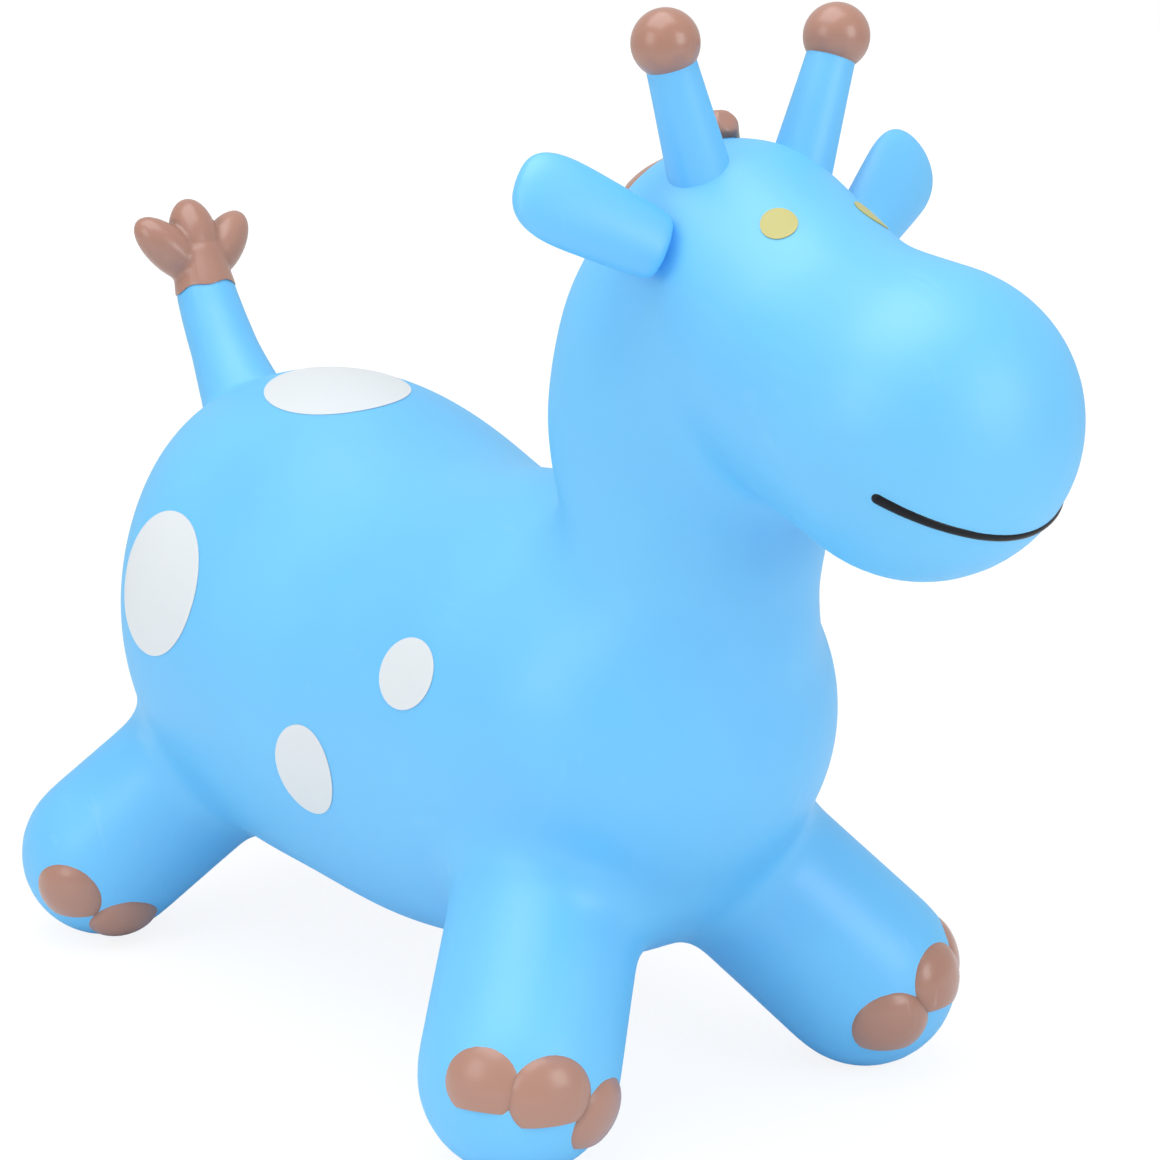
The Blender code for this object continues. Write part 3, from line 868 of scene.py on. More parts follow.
@dataclass
class Mane:
    """The scalloped crest down the nape."""

    top_x: float = 0.129
    heights: tuple[float, ...] = (0.391, 0.355, 0.319)
    lobe_radius: float = 0.0146
    dip_radius: float = 0.0095
    end_share: float = 0.35
    voxel: float = 0.0013
    passes: int = 4

    def middles(self, body: Ground) -> list[Vector]:
        """Find the middles of the lobes on the back of the head and neck.

        Args:
            body: The surface of the soft body.

        Returns:
            The middles, from the top down.
        """
        hits = [body.hit(Vector((self.top_x, 0.0, FAR_OUT)), -UP)]
        hits += [body.hit(Vector((-FAR_OUT, 0.0, height)), FORWARD) for height in self.heights]
        return [point for point, _ in hits]

    def shape(self, middles: Sequence[Vector], grow: float) -> Shape:
        """Make the crest.

        Args:
            middles: The middles of its lobes.
            grow: How much larger than the crest the form is.

        Returns:
            The form.
        """
        lobe = self.lobe_radius + grow
        start = middles[0] + (middles[0] - middles[1]).normalized() * lobe
        end = middles[-1] + (middles[-1] - middles[-2]).normalized() * lobe
        stations = [Station(*start, self.end_share * lobe), Station(*middles[0], lobe)]
        for high, low in zip(middles, middles[1:]):
            stations.append(Station(*((high + low) * 0.5), self.dip_radius + grow))
            stations.append(Station(*low, lobe))
        stations.append(Station(*end, self.end_share * lobe))
        return Bench.fuse(Bench.tube("mane_form", stations), self.voxel, self.passes)

    def coat(self, middles: Sequence[Vector], skin: Ground, make: CoatMake) -> Piece:
        """Paint the crest.

        Args:
            middles: The middles of its lobes.
            skin: The skin's surface.
            make: How the coat is laid.

        Returns:
            The finished piece.
        """
        shape = make.over(self.shape(middles, make.lift), skin)
        shape.name = "mane_coat"
        return Piece(shape, "mane_paint", Slot.BROWN)


@dataclass
class Tail:
    """The upright tail and its three-lobed tuft."""

    stations: tuple[Station, ...] = (
        Station(-0.2365, 0.0, 0.245, 0.0245),
        Station(-0.2675, 0.0, 0.285, 0.0178),
        Station(-0.2848, 0.0, 0.3125, 0.0158),
    )
    core_share: float = 0.5
    core_taper: float = 0.9
    tuft_upright: float = 0.42
    stem_length: float = 0.022
    stem_taper: float = 0.82
    crown_share: float = 0.34
    top_length: float = 0.0430
    top_width: float = 0.0248
    side_length: float = 0.0452
    side_width: float = 0.0218
    side_spread: float = math.radians(42.5)
    shrink: float = 0.0010
    wave: float = 0.0010
    waves: int = 5
    wave_room: float = 1.5
    wave_fade: float = 0.5
    voxel: float = 0.0013
    passes: int = 4

    def end(self) -> tuple[Vector, Vector]:
        """Find where the paint starts.

        Returns:
            The paint line's middle and the way the tuft runs from there.
        """
        top = self.stations[-1].point
        along = (top - self.stations[-2].point).normalized()
        return top, (along + UP * self.tuft_upright).normalized()

    def shape(self) -> Shape:
        """Make the tail's tube.

        Returns:
            The form.
        """
        top, along = self.end()
        core = top + along * (self.core_share * self.stem_length)
        last = Station(*core, self.core_taper * self.stations[-1].radius)
        return Bench.tube("tail_form", [*self.stations, last])

    def tuft(self, grow: float) -> Shape:
        """Make the tuft.

        Args:
            grow: How much larger than the tuft the form is.

        Returns:
            The form.
        """
        top, along = self.end()
        radius = self.stations[-1].radius
        high = top + along * self.stem_length
        stem = [Station(*top, radius + grow), Station(*high, self.stem_taper * radius + grow)]
        forms = [Bench.tube("tuft_form", stem)]
        crown = top + along * (self.crown_share * self.stem_length)
        for spread, length, width in (
            (0.0, self.top_length, self.top_width),
            (-self.side_spread, self.side_length, self.side_width),
            (self.side_spread, self.side_length, self.side_width),
        ):
            lean = along * math.cos(spread) + Vector((0.0, math.sin(spread), 0.0))
            place = lean_frame(crown + lean * (0.5 * length), lean, FORWARD)
            half = 0.5 * width + grow
            forms.append(Bench.ball("tuft_lobe_form", place, (half, half, 0.5 * length + grow)))
        return Bench.fuse(Bench.join("tuft_form", forms), self.voxel, self.passes)

    def coat(self, make: CoatMake) -> Piece:
        """Paint the tuft down to a hand-drawn line round the tail.

        Args:
            make: How the coat is laid.

        Returns:
            The finished piece.
        """
        top, along = self.end()
        shape = self.tuft(make.lift)
        Bench.slice_off(shape, top + along * (self.wave_room * self.wave), along, False)
        place = lean_frame(top, along, FORWARD).inverted()
        for vertex in shape.data.vertices:
            local = place @ vertex.co
            fade = max(0.0, 1.0 - local.z / (self.wave_fade * self.stem_length))
            ripple = math.sin(self.waves * math.atan2(local.y, local.x))
            vertex.co += along * (self.wave * ripple * fade)
        Bench.smooth(Bench.thicken(shape, make.thickness, False))
        shape.name = "tail_tuft_coat"
        return Piece(shape, "tail_tuft_paint", Slot.BROWN)


@dataclass
class Valve:
    """The valve bush and its push-in plug."""

    x: float = -0.060
    belly_z: float = 0.0403
    flange_radius: float = 0.0150
    flange_thickness: float = 0.0020
    bush_radius: float = 0.0100
    bore_radius: float = 0.0050
    bush_length: float = 0.0130
    head_radius: float = 0.0095
    head_thickness: float = 0.0020
    plug_length: float = 0.0150
    tip_radius: float = 0.0036
    taper_share: float = 0.7
    fit_gap: float = 0.0003
    dish_radius: float = 0.0066
    dish_depth: float = 0.0007
    edge: float = 0.00035

    def bush(self) -> Piece:
        """Make the flanged bush.

        Returns:
            The finished piece.
        """
        profile = (
            (self.bush_radius, self.bush_length),
            (self.bush_radius, self.flange_thickness),
            (self.flange_radius, self.flange_thickness),
            (self.flange_radius, 0.0),
            (self.bore_radius, 0.0),
            (self.bore_radius, self.bush_length),
        )
        shape = self.seat(Bench.spun("valve_bush_ring", profile, self.edge))
        return Piece(shape, "valve_bush", Slot.BUSH)

    def plug(self) -> Piece:
        """Make the plug, with a shallow dish in its head.

        Returns:
            The finished piece.
        """
        high = -self.fit_gap
        low = high - self.head_thickness
        shank = self.bore_radius - self.fit_gap
        profile = (
            (0.0, self.plug_length),
            (self.tip_radius, self.plug_length),
            (shank, self.taper_share * self.plug_length),
            (shank, high),
            (self.head_radius, high),
            (self.head_radius, low),
            (self.dish_radius, low),
            (self.dish_radius - self.dish_depth, low + self.dish_depth),
            (0.0, low + self.dish_depth),
        )
        shape = self.seat(Bench.spun("valve_plug_stopper", profile, self.edge))
        return Piece(shape, "valve_plug", Slot.PLUG, Body.PLUG)

    def seat(self, shape: Shape) -> Shape:
        """Put a spun form in its place under the belly."""
        shape.location = (self.x, 0.0, self.belly_z)
        return Bench.smooth(Bench.settle(shape))


@dataclass
class ValveSeat:
    """The round seat and bore that the skin has under the belly."""

    gap: float = 0.0003
    depth_below: float = 0.012
    seat_depth: float = 0.0023
    bore_depth: float = 0.024
    facets: int = 96

    def cut(self, skin: Shape, valve: Valve) -> None:
        """Cut the seat and the bore into the skin.

        Args:
            skin: The skin.
            valve: The valve that they are for.
        """
        for radius, depth in ((valve.flange_radius, self.seat_depth), (valve.bush_radius, self.bore_depth)):
            length = self.depth_below + depth
            middle = Vector((valve.x, 0.0, valve.belly_z + depth - 0.5 * length))
            Bench.pick()
            bpy.ops.mesh.primitive_cylinder_add(
                vertices=self.facets, radius=radius + self.gap, depth=length, location=middle
            )
            Bench.cut(skin, Bench.settle(Bench.added("seat_form")))


@dataclass
class Spot:
    """An oval patch of paint on the skin."""

    node: str
    start: Vector
    way: Vector
    upright: Vector
    length: float
    height: float
    slot: Slot

    def coat(self, skin: Ground, target: Shape, make: CoatMake) -> Piece:
        """Lay the patch on the skin.

        Args:
            skin: The skin's surface.
            target: The skin.
            make: How the coat is laid.

        Returns:
            The finished piece.
        """
        point, normal = skin.hit(self.start, self.way)
        shape = Bench.disc(self.node + "_coat")
        shape.scale = (0.5 * self.height, 0.5 * self.length, 1.0)
        Bench.settle(shape)
        rise = 0.5 * max(self.length, self.height)
        shape.matrix_world = lean_frame(point + normal * rise, normal, self.upright)
        Bench.modify(
            shape,
            "SHRINKWRAP",
            target=target,
            wrap_method="PROJECT",
            use_project_z=True,
            use_negative_direction=True,
            use_positive_direction=False,
        )
        Bench.settle(shape)
        Bench.modify(shape, "DISPLACE", direction="NORMAL", mid_level=0.0, strength=make.flat_lift)
        Bench.smooth(Bench.thicken(shape, make.thickness, True))
        return Piece(shape, self.node, self.slot)


@dataclass(frozen=True)
class SidePatch:
    """The same patch on both sides: its middle, its size and the lean of its upright."""

    name: str
    x: float
    z: float
    length: float
    height: float
    slot: Slot = Slot.WHITE
    lean: float = 0.0


@dataclass
class Markings:
    """The white spots and the eyes."""

    back_middle: tuple[float, float] = (-0.1427, -0.0092)
    back_size: tuple[float, float] = (0.0780, 0.0700)
    back_lean: float = 0.19
    patches: tuple[SidePatch, ...] = (
        SidePatch("rump_spot", -0.1556, 0.1967, 0.0725, 0.0685, lean=-0.8),
        SidePatch("flank_spot", 0.0393, 0.1923, 0.0375, 0.0310, lean=-0.34),
        SidePatch("low_spot", -0.0357, 0.1316, 0.0415, 0.0445, lean=0.84),
        SidePatch("eye", 0.2005, 0.3943, 0.0145, 0.0168, Slot.YELLOW),
    )

    def spots(self) -> Iterator[Spot]:
        """List every patch.

        Yields:
            The patch on the back, and then those of each side.
        """
        top = Vector((*self.back_middle, FAR_OUT))
        yield Spot("back_spot", top, -UP, Vector((self.back_lean, 1.0, 0.0)), *self.back_size, Slot.WHITE)
        for side in Side:
            for patch in self.patches:
                start = Vector((patch.x, side.value * FAR_OUT, patch.z))
                way = Vector((0.0, -side.value, 0.0))
                upright = Vector((patch.lean, 0.0, 1.0))
                name = f"{patch.name}_{side.label}"
                yield Spot(name, start, way, upright, patch.length, patch.height, patch.slot)


@dataclass
class Smile:
    """The brushed mouth line round the muzzle."""

    centre_x: float = 0.2595
    turn: float = math.radians(61.0)
    end_z: float = 0.3010
    front_z: float = 0.2876
    skew: float = 0.004
    end_radius: float = 0.0025
    front_radius: float = 0.0021
    sink: float = 0.0012
    steps: int = 12
    tube_steps: int = 4
    voxel: float = 0.00055
    passes: int = 3

    def coat(self, skin: Ground, make: CoatMake) -> Piece:
        """Brush the line on the skin.

        Args:
            skin: The skin's surface.
            make: How the coat is laid.

        Returns:
            The finished piece.
        """
        stations = []
        for step in range(2 * self.steps + 1):
            share = step / self.steps - 1.0
            out = Vector((math.cos(share * self.turn), math.sin(share * self.turn), 0.0))
            height = self.front_z + (self.end_z - self.front_z) * share * share - self.skew * share
            point, normal = skin.hit(Vector((self.centre_x, 0.0, height)) + out * FAR_OUT, -out)
            radius = self.front_radius + (self.end_radius - self.front_radius) * share * share
            stations.append(Station(*(point - normal * self.sink), radius))
        line = Bench.tube("smile_coat", stations, self.tube_steps, round_ends=True)
        return Piece(make.over(Bench.fuse(line, self.voxel, self.passes), skin), "smile", Slot.BLACK)


@dataclass
class Skin:
    """The whole moulding: the soft body with every raised detail joined to it."""

    body: SoftBody = field(default_factory=SoftBody)
    feet: Feet = field(default_factory=Feet)
    horn: Horn = field(default_factory=Horn)
    ear: Ear = field(default_factory=Ear)
    mane: Mane = field(default_factory=Mane)
    tail: Tail = field(default_factory=Tail)
    seat: ValveSeat = field(default_factory=ValveSeat)
    voxel: float = 0.0033
    passes: int = 3
    smooth_angle: float = math.radians(50.0)

    def build(self, valve: Valve) -> tuple[Piece, list[Vector]]:
        """Make the moulding.

        Args:
            valve: The valve that the skin makes room for.

        Returns:
            The skin, and the middles of the mane's lobes.
        """
        form = self.body.build()
        middles = self.mane.middles(Ground(form))
        skin = Bench.fuse(Bench.join("soft_skin", [form, self.tail.shape()]), self.voxel, self.passes)
        details = self.feet.shapes(self.body)
        details += [self.mane.shape(middles, 0.0), self.tail.tuft(-self.tail.shrink)]
        details += [detail.shape(side) for side in Side for detail in (self.horn, self.ear)]
        for detail in details:
            Bench.unite(skin, detail)
        Bench.slice_off(skin, Vector(), UP, True)
        self.seat.cut(skin, valve)
        return Piece(Bench.smooth(skin, self.smooth_angle), "skin", Slot.VINYL), middles


class ShaderKit:
    """Small helpers for writing node trees."""

    COLOUR_INPUTS = (6, 7)
    COLOUR_OUTPUT = 2

    def __init__(self, tree: bpy.types.NodeTree) -> None:
        """Write into this tree."""
        self.tree = tree

    @staticmethod
    def fill(node: Node, inputs: dict[str, object]) -> Node:
        """Set inputs of a node.

        Args:
            node: The node.
            inputs: The values, by the inputs' names.

        Returns:
            The node.
        """
        for name, value in inputs.items():
            node.inputs[name].default_value = value
        return node

    def node(self, kind: str, inputs: dict[str, object] | None = None, **settings: object) -> Node:
        """Add a node.

        Args:
            kind: The node's type.
            inputs: Values of its inputs, by their names.
            settings: Its properties.

        Returns:
            The node.
        """
        made = self.tree.nodes.new(kind)
        for name, value in settings.items():
            setattr(made, name, value)
        return self.fill(made, inputs or {})

    def link(self, source: Socket, target: Socket) -> None:
        """Join two sockets."""
        self.tree.links.new(source, target)

    def noise(self, vector: Socket, scale: float, detail: float, rough: float = 0.5) -> Socket:
        """Add a noise texture.

        Args:
            vector: The coordinates that it reads.
            scale: How fine it is.
            detail: How many finer layers it has.
            rough: How strong these are.

        Returns:
            Its value.
        """
        made = self.node("ShaderNodeTexNoise", {"Scale": scale, "Detail": detail, "Roughness": rough})
        self.link(vector, made.inputs["Vector"])
        return made.outputs["Fac"]

    def spread(self, value: Socket, start: tuple[float, float], end: tuple[float, float]) -> Socket:
        """Map a range of values to another, clamped.

        Args:
            value: The value.
            start: The range that it comes from.
            end: The range that it is mapped to.

        Returns:
            The mapped value.
        """
        limits = zip(("From Min", "From Max", "To Min", "To Max"), (*start, *end))
        made = self.node("ShaderNodeMapRange", dict(limits))
        self.link(value, made.inputs["Value"])
        return made.outputs["Result"]

    def calc(self, operation: str, first: Socket, second: Socket | float) -> Socket:
        """Combine two values.

        Args:
            operation: How they are combined.
            first: The first value.
            second: The second value, or a number.

        Returns:
            The result.
        """
        made = self.node("ShaderNodeMath", operation=operation)
        self.link(first, made.inputs[0])
        if isinstance(second, float):
            made.inputs[1].default_value = second
        else:
            self.link(second, made.inputs[1])
        return made.outputs["Value"]

    def mix(self, factor: Socket, first: object, second: object) -> Socket:
        """Mix two colours, each a socket or four numbers.

        Args:
            factor: How much of the second colour shows.
            first: The first colour.
            second: The second colour.

        Returns:
            The mixed colour.
        """
        made = self.node("ShaderNodeMix", data_type="RGBA")
        self.link(factor, made.inputs["Factor"])
        for place, colour in zip(self.COLOUR_INPUTS, (first, second)):
            if isinstance(colour, Socket):
                self.link(colour, made.inputs[place])
            else:
                made.inputs[place].default_value = colour
        return made.outputs[self.COLOUR_OUTPUT]

    def blend(self, factor: Socket, first: Socket, second: Socket) -> Socket:
        """Blend two shaders.

        Args:
            factor: How much of the second shader shows.
            first: The first shader.
            second: The second shader.

        Returns:
            The blended shader.
        """
        made = self.node("ShaderNodeMixShader")
        for target, source in zip(made.inputs, (factor, first, second)):
            self.link(source, target)
        return made.outputs["Shader"]


def start_material(name: str) -> tuple[bpy.types.Material, ShaderKit, Node]:
    """Make a material with a plain shader.

    Args:
        name: Its name.

    Returns:
        The material, a kit for its tree, and its shader.
    """
    material = bpy.data.materials.new(name)
    material.use_nodes = True
    return material, ShaderKit(material.node_tree), material.node_tree.nodes["Principled BSDF"]


@dataclass(frozen=True)
class SurfaceGroup:
    """A node group that several finishes share, with coordinates and one setting as its inputs."""

    name: str
    setting: str
    outputs: tuple[str, ...]

    def start(self) -> tuple[ShaderKit, Node, Node]:
        """Make the empty group with its sockets.

        Returns:
            A kit for the group's tree, its input node and its output node.
        """
        tree = bpy.data.node_groups.new(self.name, "ShaderNodeTree")
        for label, kind in (("Vector", "NodeSocketVector"), (self.setting, "NodeSocketFloat")):
            tree.interface.new_socket(name=label, in_out="INPUT", socket_type=kind)
        for label in self.outputs:
            tree.interface.new_socket(name=label, in_out="OUTPUT", socket_type="NodeSocketFloat")
        kit = ShaderKit(tree)
        return kit, kit.node("NodeGroupInput"), kit.node("NodeGroupOutput")

    def place(self, kit: ShaderKit, vector: Socket, value: float) -> Node:
        """Place the group in a material.

        Args:
            kit: A kit for the material's tree.
            vector: The surface coordinates.
            value: The group's setting.

        Returns:
            The placed group.
        """
        tree = bpy.data.node_groups[self.name]
        made = kit.node("ShaderNodeGroup", {self.setting: value}, node_tree=tree)
        kit.link(vector, made.inputs["Vector"])
        return made


@dataclass(frozen=True)
class MouldedGrain(SurfaceGroup):
    """The fine skin grain and the broad patchiness of moulded vinyl and sprayed paint."""

    name: str = "moulded_grain"
    setting: str = "Grain Scale"
    outputs: tuple[str, ...] = ("Height", "Patch")
    fine_detail: float = 2.0
    fine_rough: float = 0.6
    fine_share: float = 0.4
    peel_scale: float = 150.0
    peel_detail: float = 1.0
    peel_share: float = 0.6
    patch_scale: float = 9.0
    patch_detail: float = 3.0
    patch_range: tuple[float, float] = (0.35, 0.65)

    def build(self) -> None:
        """Make the group."""
        kit, source, target = self.start()
        vector = source.outputs["Vector"]
        scaled = kit.node("ShaderNodeVectorMath", operation="SCALE")
        kit.link(vector, scaled.inputs[0])
        kit.link(source.outputs[self.setting], scaled.inputs["Scale"])
        fine = kit.noise(scaled.outputs["Vector"], 1.0, self.fine_detail, self.fine_rough)
        fine = kit.calc("MULTIPLY", fine, self.fine_share)
        peel = kit.noise(vector, self.peel_scale, self.peel_detail)
        peel = kit.calc("MULTIPLY", peel, self.peel_share)
        kit.link(kit.calc("ADD", fine, peel), target.inputs["Height"])
        patch = kit.noise(vector, self.patch_scale, self.patch_detail)
        kit.link(kit.spread(patch, self.patch_range, FULL_RANGE), target.inputs["Patch"])


@dataclass(frozen=True)
class RubMarks(SurfaceGroup):
    """Faint rub marks, denser towards the floor."""

    name: str = "handling_marks"
    setting: str = "Amount"
    outputs: tuple[str, ...] = ("Mask",)
    streak_turn: tuple[float, float, float] = (0.4, 0.9, 0.3)
    streak_scale: tuple[float, float, float] = (30.0, 260.0, 45.0)
    streak_detail: float = 3.0
    streak_range: tuple[float, float] = (0.60, 0.72)
    patch_scale: float = 22.0
    patch_detail: float = 2.0
    patch_range: tuple[float, float] = (0.52, 0.66)
    low_heights: tuple[float, float] = (0.0, 0.14)
    low_shares: tuple[float, float] = (1.0, 0.25)

    def build(self) -> None:
        """Make the group."""
        kit, source, target = self.start()
        vector = source.outputs["Vector"]
        stretch = kit.node("ShaderNodeMapping", {"Rotation": self.streak_turn, "Scale": self.streak_scale})
        kit.link(vector, stretch.inputs["Vector"])
        streak = kit.noise(stretch.outputs["Vector"], 1.0, self.streak_detail)
        streak = kit.spread(streak, self.streak_range, FULL_RANGE)
        where = kit.noise(vector, self.patch_scale, self.patch_detail)
        where = kit.spread(where, self.patch_range, FULL_RANGE)
        split = kit.node("ShaderNodeSeparateXYZ")
        kit.link(vector, split.inputs["Vector"])
        low = kit.spread(split.outputs["Z"], self.low_heights, self.low_shares)
        mask = kit.calc("MULTIPLY", kit.calc("MULTIPLY", streak, where), low)
        kit.link(kit.calc("MULTIPLY", mask, source.outputs[self.setting]), target.inputs["Mask"])


GRAIN = MouldedGrain()
MARKS = RubMarks()


@dataclass(frozen=True)
class Finish:
    """A vinyl, paint or plastic finish."""

    # Painted shade in creases: the occlusion test's samples and reach, the range it maps, and how dark the
    # shade gets.
    CREASE_SAMPLES = 8
    CREASE_REACH = 0.005
    CREASE_RANGE = (0.68, 0.97)
    CREASE_SHADE = 0.35
    RUB_ROUGHNESS = 0.15

    slot: Slot
    colour: tuple[float, float, float]
    thin_colour: tuple[float, float, float]
    rub_colour: tuple[float, float, float]
    roughness: tuple[float, float]
    rub_amount: float
    grain_scale: float
    grain_depth: float
    coat: float = 0.0
    coat_roughness: float = 0.2
    specular: float = 0.5
    crease: float = 0.0

    def gathered(self, kit: ShaderKit) -> Socket:
        """Find where painted shade darkens the crease round a raised detail.

        Args:
            kit: A kit for the material's tree.

        Returns:
            How much of it shows.
        """
        reach = {"Distance": self.CREASE_REACH}
        corner = kit.node("ShaderNodeAmbientOcclusion", reach, samples=self.CREASE_SAMPLES)
        return kit.spread(corner.outputs["AO"], self.CREASE_RANGE, (self.crease, 0.0))

    def tint(self, kit: ShaderKit, patch: Socket, rubbed: Socket) -> Socket:
        """Mix the colour from thin places, painted shade in creases and rub marks.

        Args:
            kit: A kit for the material's tree.
            patch: Where the colour is thin.
            rubbed: Where the surface is rubbed.

        Returns:
            The colour.
        """
        tint = kit.mix(patch, (*self.colour, 1.0), (*self.thin_colour, 1.0))
        # Painted shade: the colour darkens where the occlusion test finds a crease.
        if self.crease:
            shade = (self.CREASE_SHADE * part for part in self.colour)
            tint = kit.mix(self.gathered(kit), tint, (*shade, 1.0))
        return kit.mix(rubbed, tint, (*self.rub_colour, 1.0))

    def build(self) -> bpy.types.Material:
        """Make the material.

        Returns:
            The material.
        """
        material, kit, shader = start_material(self.slot.value + "_finish")
        place = kit.node("ShaderNodeTexCoord").outputs["Object"]
        grain = GRAIN.place(kit, place, self.grain_scale)
        patch = grain.outputs["Patch"]
        rubbed = MARKS.place(kit, place, self.rub_amount).outputs["Mask"]
        kit.link(self.tint(kit, patch, rubbed), shader.inputs["Base Color"])
        sheen = kit.spread(patch, FULL_RANGE, self.roughness)
        worn = kit.calc("ADD", sheen, kit.calc("MULTIPLY", rubbed, self.RUB_ROUGHNESS))
        kit.link(worn, shader.inputs["Roughness"])
        bump = kit.node("ShaderNodeBump", {"Strength": 1.0, "Distance": self.grain_depth})
        kit.link(grain.outputs["Height"], bump.inputs["Height"])
        kit.link(bump.outputs["Normal"], shader.inputs["Normal"])
        plain = {
            "Specular IOR Level": self.specular,
            "Coat Weight": self.coat,
            "Coat Roughness": self.coat_roughness,
        }
        kit.fill(shader, plain)
        material.diffuse_color = (*self.colour, 1.0)
        return material


FINISHES: tuple[Finish, ...] = (
    Finish(
        Slot.VINYL, (0.122, 0.545, 0.975), (0.142, 0.580, 0.985), (0.36, 0.70, 0.95), (0.44, 0.52),
        rub_amount=0.35, grain_scale=900.0, grain_depth=0.00003, specular=1.0,
    ),
    Finish(
        Slot.BROWN, (0.425, 0.212, 0.153), (0.460, 0.240, 0.177), (0.58, 0.42, 0.35), (0.30, 0.38),
        # The brown paint gets painted shade in its creases.
        rub_amount=0.50, grain_scale=1200.0, grain_depth=0.00002, coat=0.5, coat_roughness=0.22, crease=0.85,
    ),
    Finish(
        Slot.WHITE, (0.74, 0.79, 0.82), (0.77, 0.815, 0.845), (0.68, 0.72, 0.75), (0.44, 0.52),
        rub_amount=0.35, grain_scale=1200.0, grain_depth=0.00002,
    ),
    Finish(
        Slot.YELLOW, (0.53, 0.49, 0.165), (0.57, 0.53, 0.19), (0.68, 0.65, 0.36), (0.40, 0.48),
        rub_amount=0.30, grain_scale=1200.0, grain_depth=0.00002,
    ),
    Finish(
        Slot.BLACK, (0.005, 0.006, 0.009), (0.009, 0.010, 0.013), (0.05, 0.05, 0.06), (0.26, 0.34),
        rub_amount=0.40, grain_scale=1400.0, grain_depth=0.00003, specular=0.2,
    ),
    Finish(
        Slot.BUSH, (0.66, 0.69, 0.72), (0.70, 0.73, 0.76), (0.50, 0.52, 0.54), (0.36, 0.44),
        rub_amount=0.60, grain_scale=1500.0, grain_depth=0.00002,
    ),
    Finish(
        Slot.PLUG, (0.78, 0.80, 0.82), (0.82, 0.84, 0.85), (0.60, 0.62, 0.64), (0.36, 0.44),
        rub_amount=0.60, grain_scale=1500.0, grain_depth=0.00002,
    ),
)


def hang(name: str, data: bpy.types.ID, place: Vector, way: Vector) -> Shape:
    """Put a lamp or the camera into the scene.

    Args:
        name: Its name.
        data: The lamp or the camera.
        place: Where it hangs.
        way: The direction that it looks in.

    Returns:
        The object.
    """
    thing = bpy.data.objects.new(name, data)
    bpy.context.scene.collection.objects.link(thing)
    thing.location = place
    thing.rotation_mode = "QUATERNION"
    thing.rotation_quaternion = way.to_track_quat("-Z", "Y")
    return thing


@dataclass
class Lamp:
    """A soft box of light."""

    name: str
    place: tuple[float, float, float]
    size: tuple[float, float]
    power: float

    def build(self, aim: Vector) -> None:
        """Hang the lamp so that it shines at a point.

        Args:
            aim: The point.
        """
        data = bpy.data.lights.new(self.name, "AREA")
        data.shape = "RECTANGLE"
        data.size, data.size_y = self.size
        data.energy = self.power
        place = Vector(self.place)
        hang(self.name, data, place, aim - place)


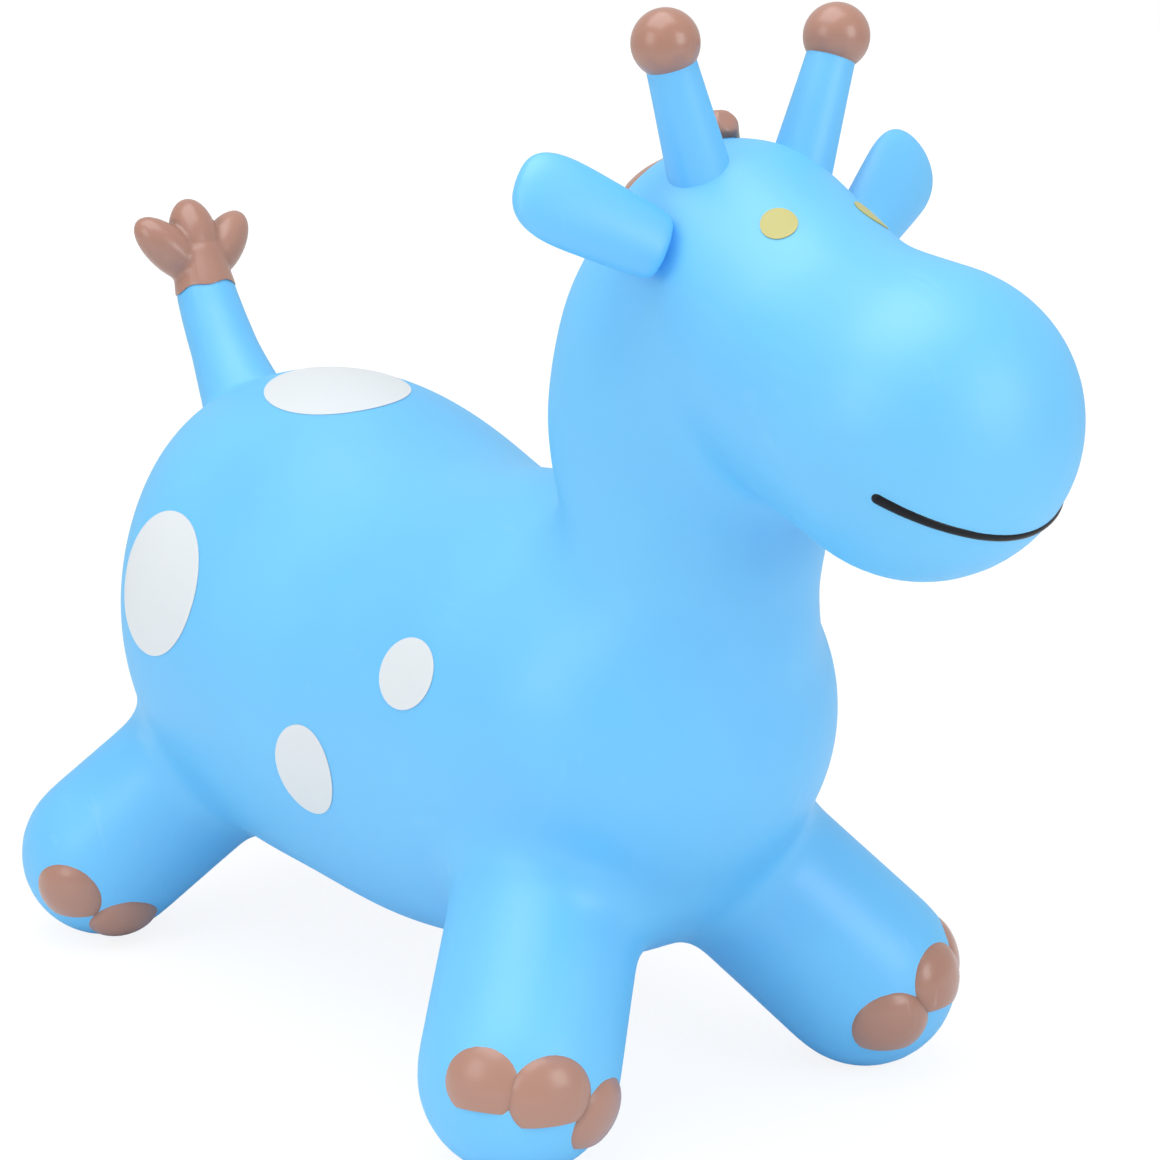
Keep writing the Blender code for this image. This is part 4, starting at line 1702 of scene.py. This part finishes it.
@dataclass
class Studio:
    """Camera, lamps, pale floor and white surround."""

    azimuth: float = math.radians(53.3)
    elevation: float = math.radians(13.5)
    distance: float = 1.28216
    target: Vector = field(default_factory=lambda: Vector((0.042, 0.0, 0.22088)))
    lens: float = 90.0
    sensor: float = 36.0
    surround: float = 0.60
    floor_size: float = 14.0
    floor_rise: float = 0.0003
    floor_colour: tuple[float, float, float] = (0.93, 0.93, 0.93)
    floor_roughness: float = 0.9
    floor_white_share: float = 0.80
    floor_fade: tuple[float, float] = (0.45, 0.95)
    floor_glow: float = 1.08
    lamp_aim: float = 0.2
    lamps: tuple[Lamp, ...] = (
        Lamp("top_box", (0.0, -0.35, 1.9), (1.6, 1.6), 17.0),
        Lamp("left_box", (0.1, -1.7, 0.9), (0.8, 1.0), 5.0),
        Lamp("right_box", (1.75, 0.35, 0.9), (0.8, 1.0), 7.5),
    )

    def camera(self, shift: float) -> None:
        """Set the camera up at the photograph's viewing angle.

        Args:
            shift: How far the part's middle was moved along X.
        """
        level = math.cos(self.elevation)
        ahead = math.sin(self.azimuth) * level
        aside = math.cos(self.azimuth) * level
        back = Vector((ahead, -aside, math.sin(self.elevation)))
        data = bpy.data.cameras.new("camera")
        data.lens = self.lens
        data.sensor_width = self.sensor
        data.sensor_fit = "HORIZONTAL"
        place = self.target + FORWARD * shift + back * self.distance
        bpy.context.scene.camera = hang("camera", data, place, -back)

    @staticmethod
    def seen(kit: ShaderKit) -> Socket:
        """Return 1 for rays that show the background, straight or through something clear."""
        path = kit.node("ShaderNodeLightPath")
        return kit.calc("MAXIMUM", path.outputs["Is Camera Ray"], path.outputs["Is Transmission Ray"])

    def world(self) -> None:
        """Light the scene evenly from all round, with a plain white background."""
        world = bpy.data.worlds.new("surround")
        world.use_nodes = True
        bpy.context.scene.world = world
        kit = ShaderKit(world.node_tree)
        sky = kit.fill(world.node_tree.nodes["Background"], {"Color": (1.0, 1.0, 1.0, 1.0)})
        kit.link(kit.spread(self.seen(kit), FULL_RANGE, (self.surround, 1.0)), sky.inputs["Strength"])

    def white_share(self, kit: ShaderKit) -> Socket:
        """Find how plainly white the floor shows: wholly, apart from round the part.

        Args:
            kit: A kit for the floor's tree.

        Returns:
            The share.
        """
        away = kit.node("ShaderNodeVectorMath", operation="LENGTH")
        kit.link(kit.node("ShaderNodeNewGeometry").outputs["Position"], away.inputs[0])
        return kit.spread(away.outputs["Value"], self.floor_fade, (self.floor_white_share, 1.0))

    def floor_material(self) -> bpy.types.Material:
        """Make a pale floor that keeps shadows and shows white, and that is clear from below.

        Returns:
            The material.
        """
        material, kit, paint = start_material("pale_floor")
        plain = {
            "Base Color": (*self.floor_colour, 1.0),
            "Roughness": self.floor_roughness,
            "Specular IOR Level": 0.0,
        }
        kit.fill(paint, plain)
        glow = kit.node("ShaderNodeEmission", {"Strength": self.floor_glow}).outputs["Emission"]
        white = kit.calc("MULTIPLY", self.seen(kit), self.white_share(kit))
        lit = kit.blend(white, paint.outputs["BSDF"], glow)
        clear = kit.node("ShaderNodeBsdfTransparent").outputs["BSDF"]
        below = kit.node("ShaderNodeNewGeometry").outputs["Backfacing"]
        surface = material.node_tree.nodes["Material Output"].inputs["Surface"]
        kit.link(kit.blend(below, lit, clear), surface)
        return material

    def floor(self) -> None:
        """Lay the floor, a hair above the soles' own plane so that the two never flicker."""
        Bench.pick()
        bpy.ops.mesh.primitive_plane_add(size=self.floor_size, location=(0.0, 0.0, self.floor_rise))
        floor = Bench.added("floor")
        floor.data.materials.append(self.floor_material())

    def build(self, shift: float) -> None:
        """Set everything up round the part.

        Args:
            shift: How far the part's middle was moved along X.
        """
        self.camera(shift)
        self.world()
        self.floor()
        for lamp in self.lamps:
            lamp.build(UP * self.lamp_aim)
        bpy.context.scene.view_settings.view_transform = "Standard"


class Hopper:
    """The whole dressed part."""

    def __init__(self) -> None:
        """Take the valve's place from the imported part."""
        low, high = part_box("valve_bush")
        self.skin = Skin()
        self.valve = Valve(belly_z=low.z)
        self.markings = Markings()
        self.smile = Smile()
        self.make = CoatMake()
        self.shift = 0.5 * (low.x + high.x) - self.valve.x

    def pieces(self) -> Iterator[Piece]:
        """Make every piece in turn.

        Yields:
            The coats, the valve and last the skin.
        """
        skin, middles = self.skin.build(self.valve)
        ground = Ground(skin.shape)
        yield from self.skin.feet.coats(self.skin.body, ground, self.make)
        for side in Side:
            yield self.skin.horn.coat(side, ground, self.make)
        yield self.skin.mane.coat(middles, ground, self.make)
        yield self.skin.tail.coat(self.make)
        for spot in self.markings.spots():
            yield spot.coat(ground, skin.shape, self.make)
        yield self.smile.coat(ground, self.make)
        yield self.valve.bush()
        yield self.valve.plug()
        yield skin

    def build(self, finishes: dict[Slot, bpy.types.Material]) -> None:
        """Make, dress and place every piece.

        Args:
            finishes: The material of each slot.
        """
        for piece in list(self.pieces()):
            shape = piece.shape
            shape.location.x = self.shift
            Bench.settle(shape)
            shape.data.materials.clear()
            shape.data.materials.append(finishes[piece.slot])
            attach(shape, piece.body.value)
            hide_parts(piece.node)
            LOG.info("%s: %d faces, for %s", shape.name, len(shape.data.polygons), piece.node)


def main() -> None:
    """Build the part and its studio."""
    logging.basicConfig(level=logging.INFO, format="%(message)s")
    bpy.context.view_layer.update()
    GRAIN.build()
    MARKS.build()
    hopper = Hopper()
    hopper.build({finish.slot: finish.build() for finish in FINISHES})
    Studio().build(hopper.shift)


if __name__ == "__main__":
    main()
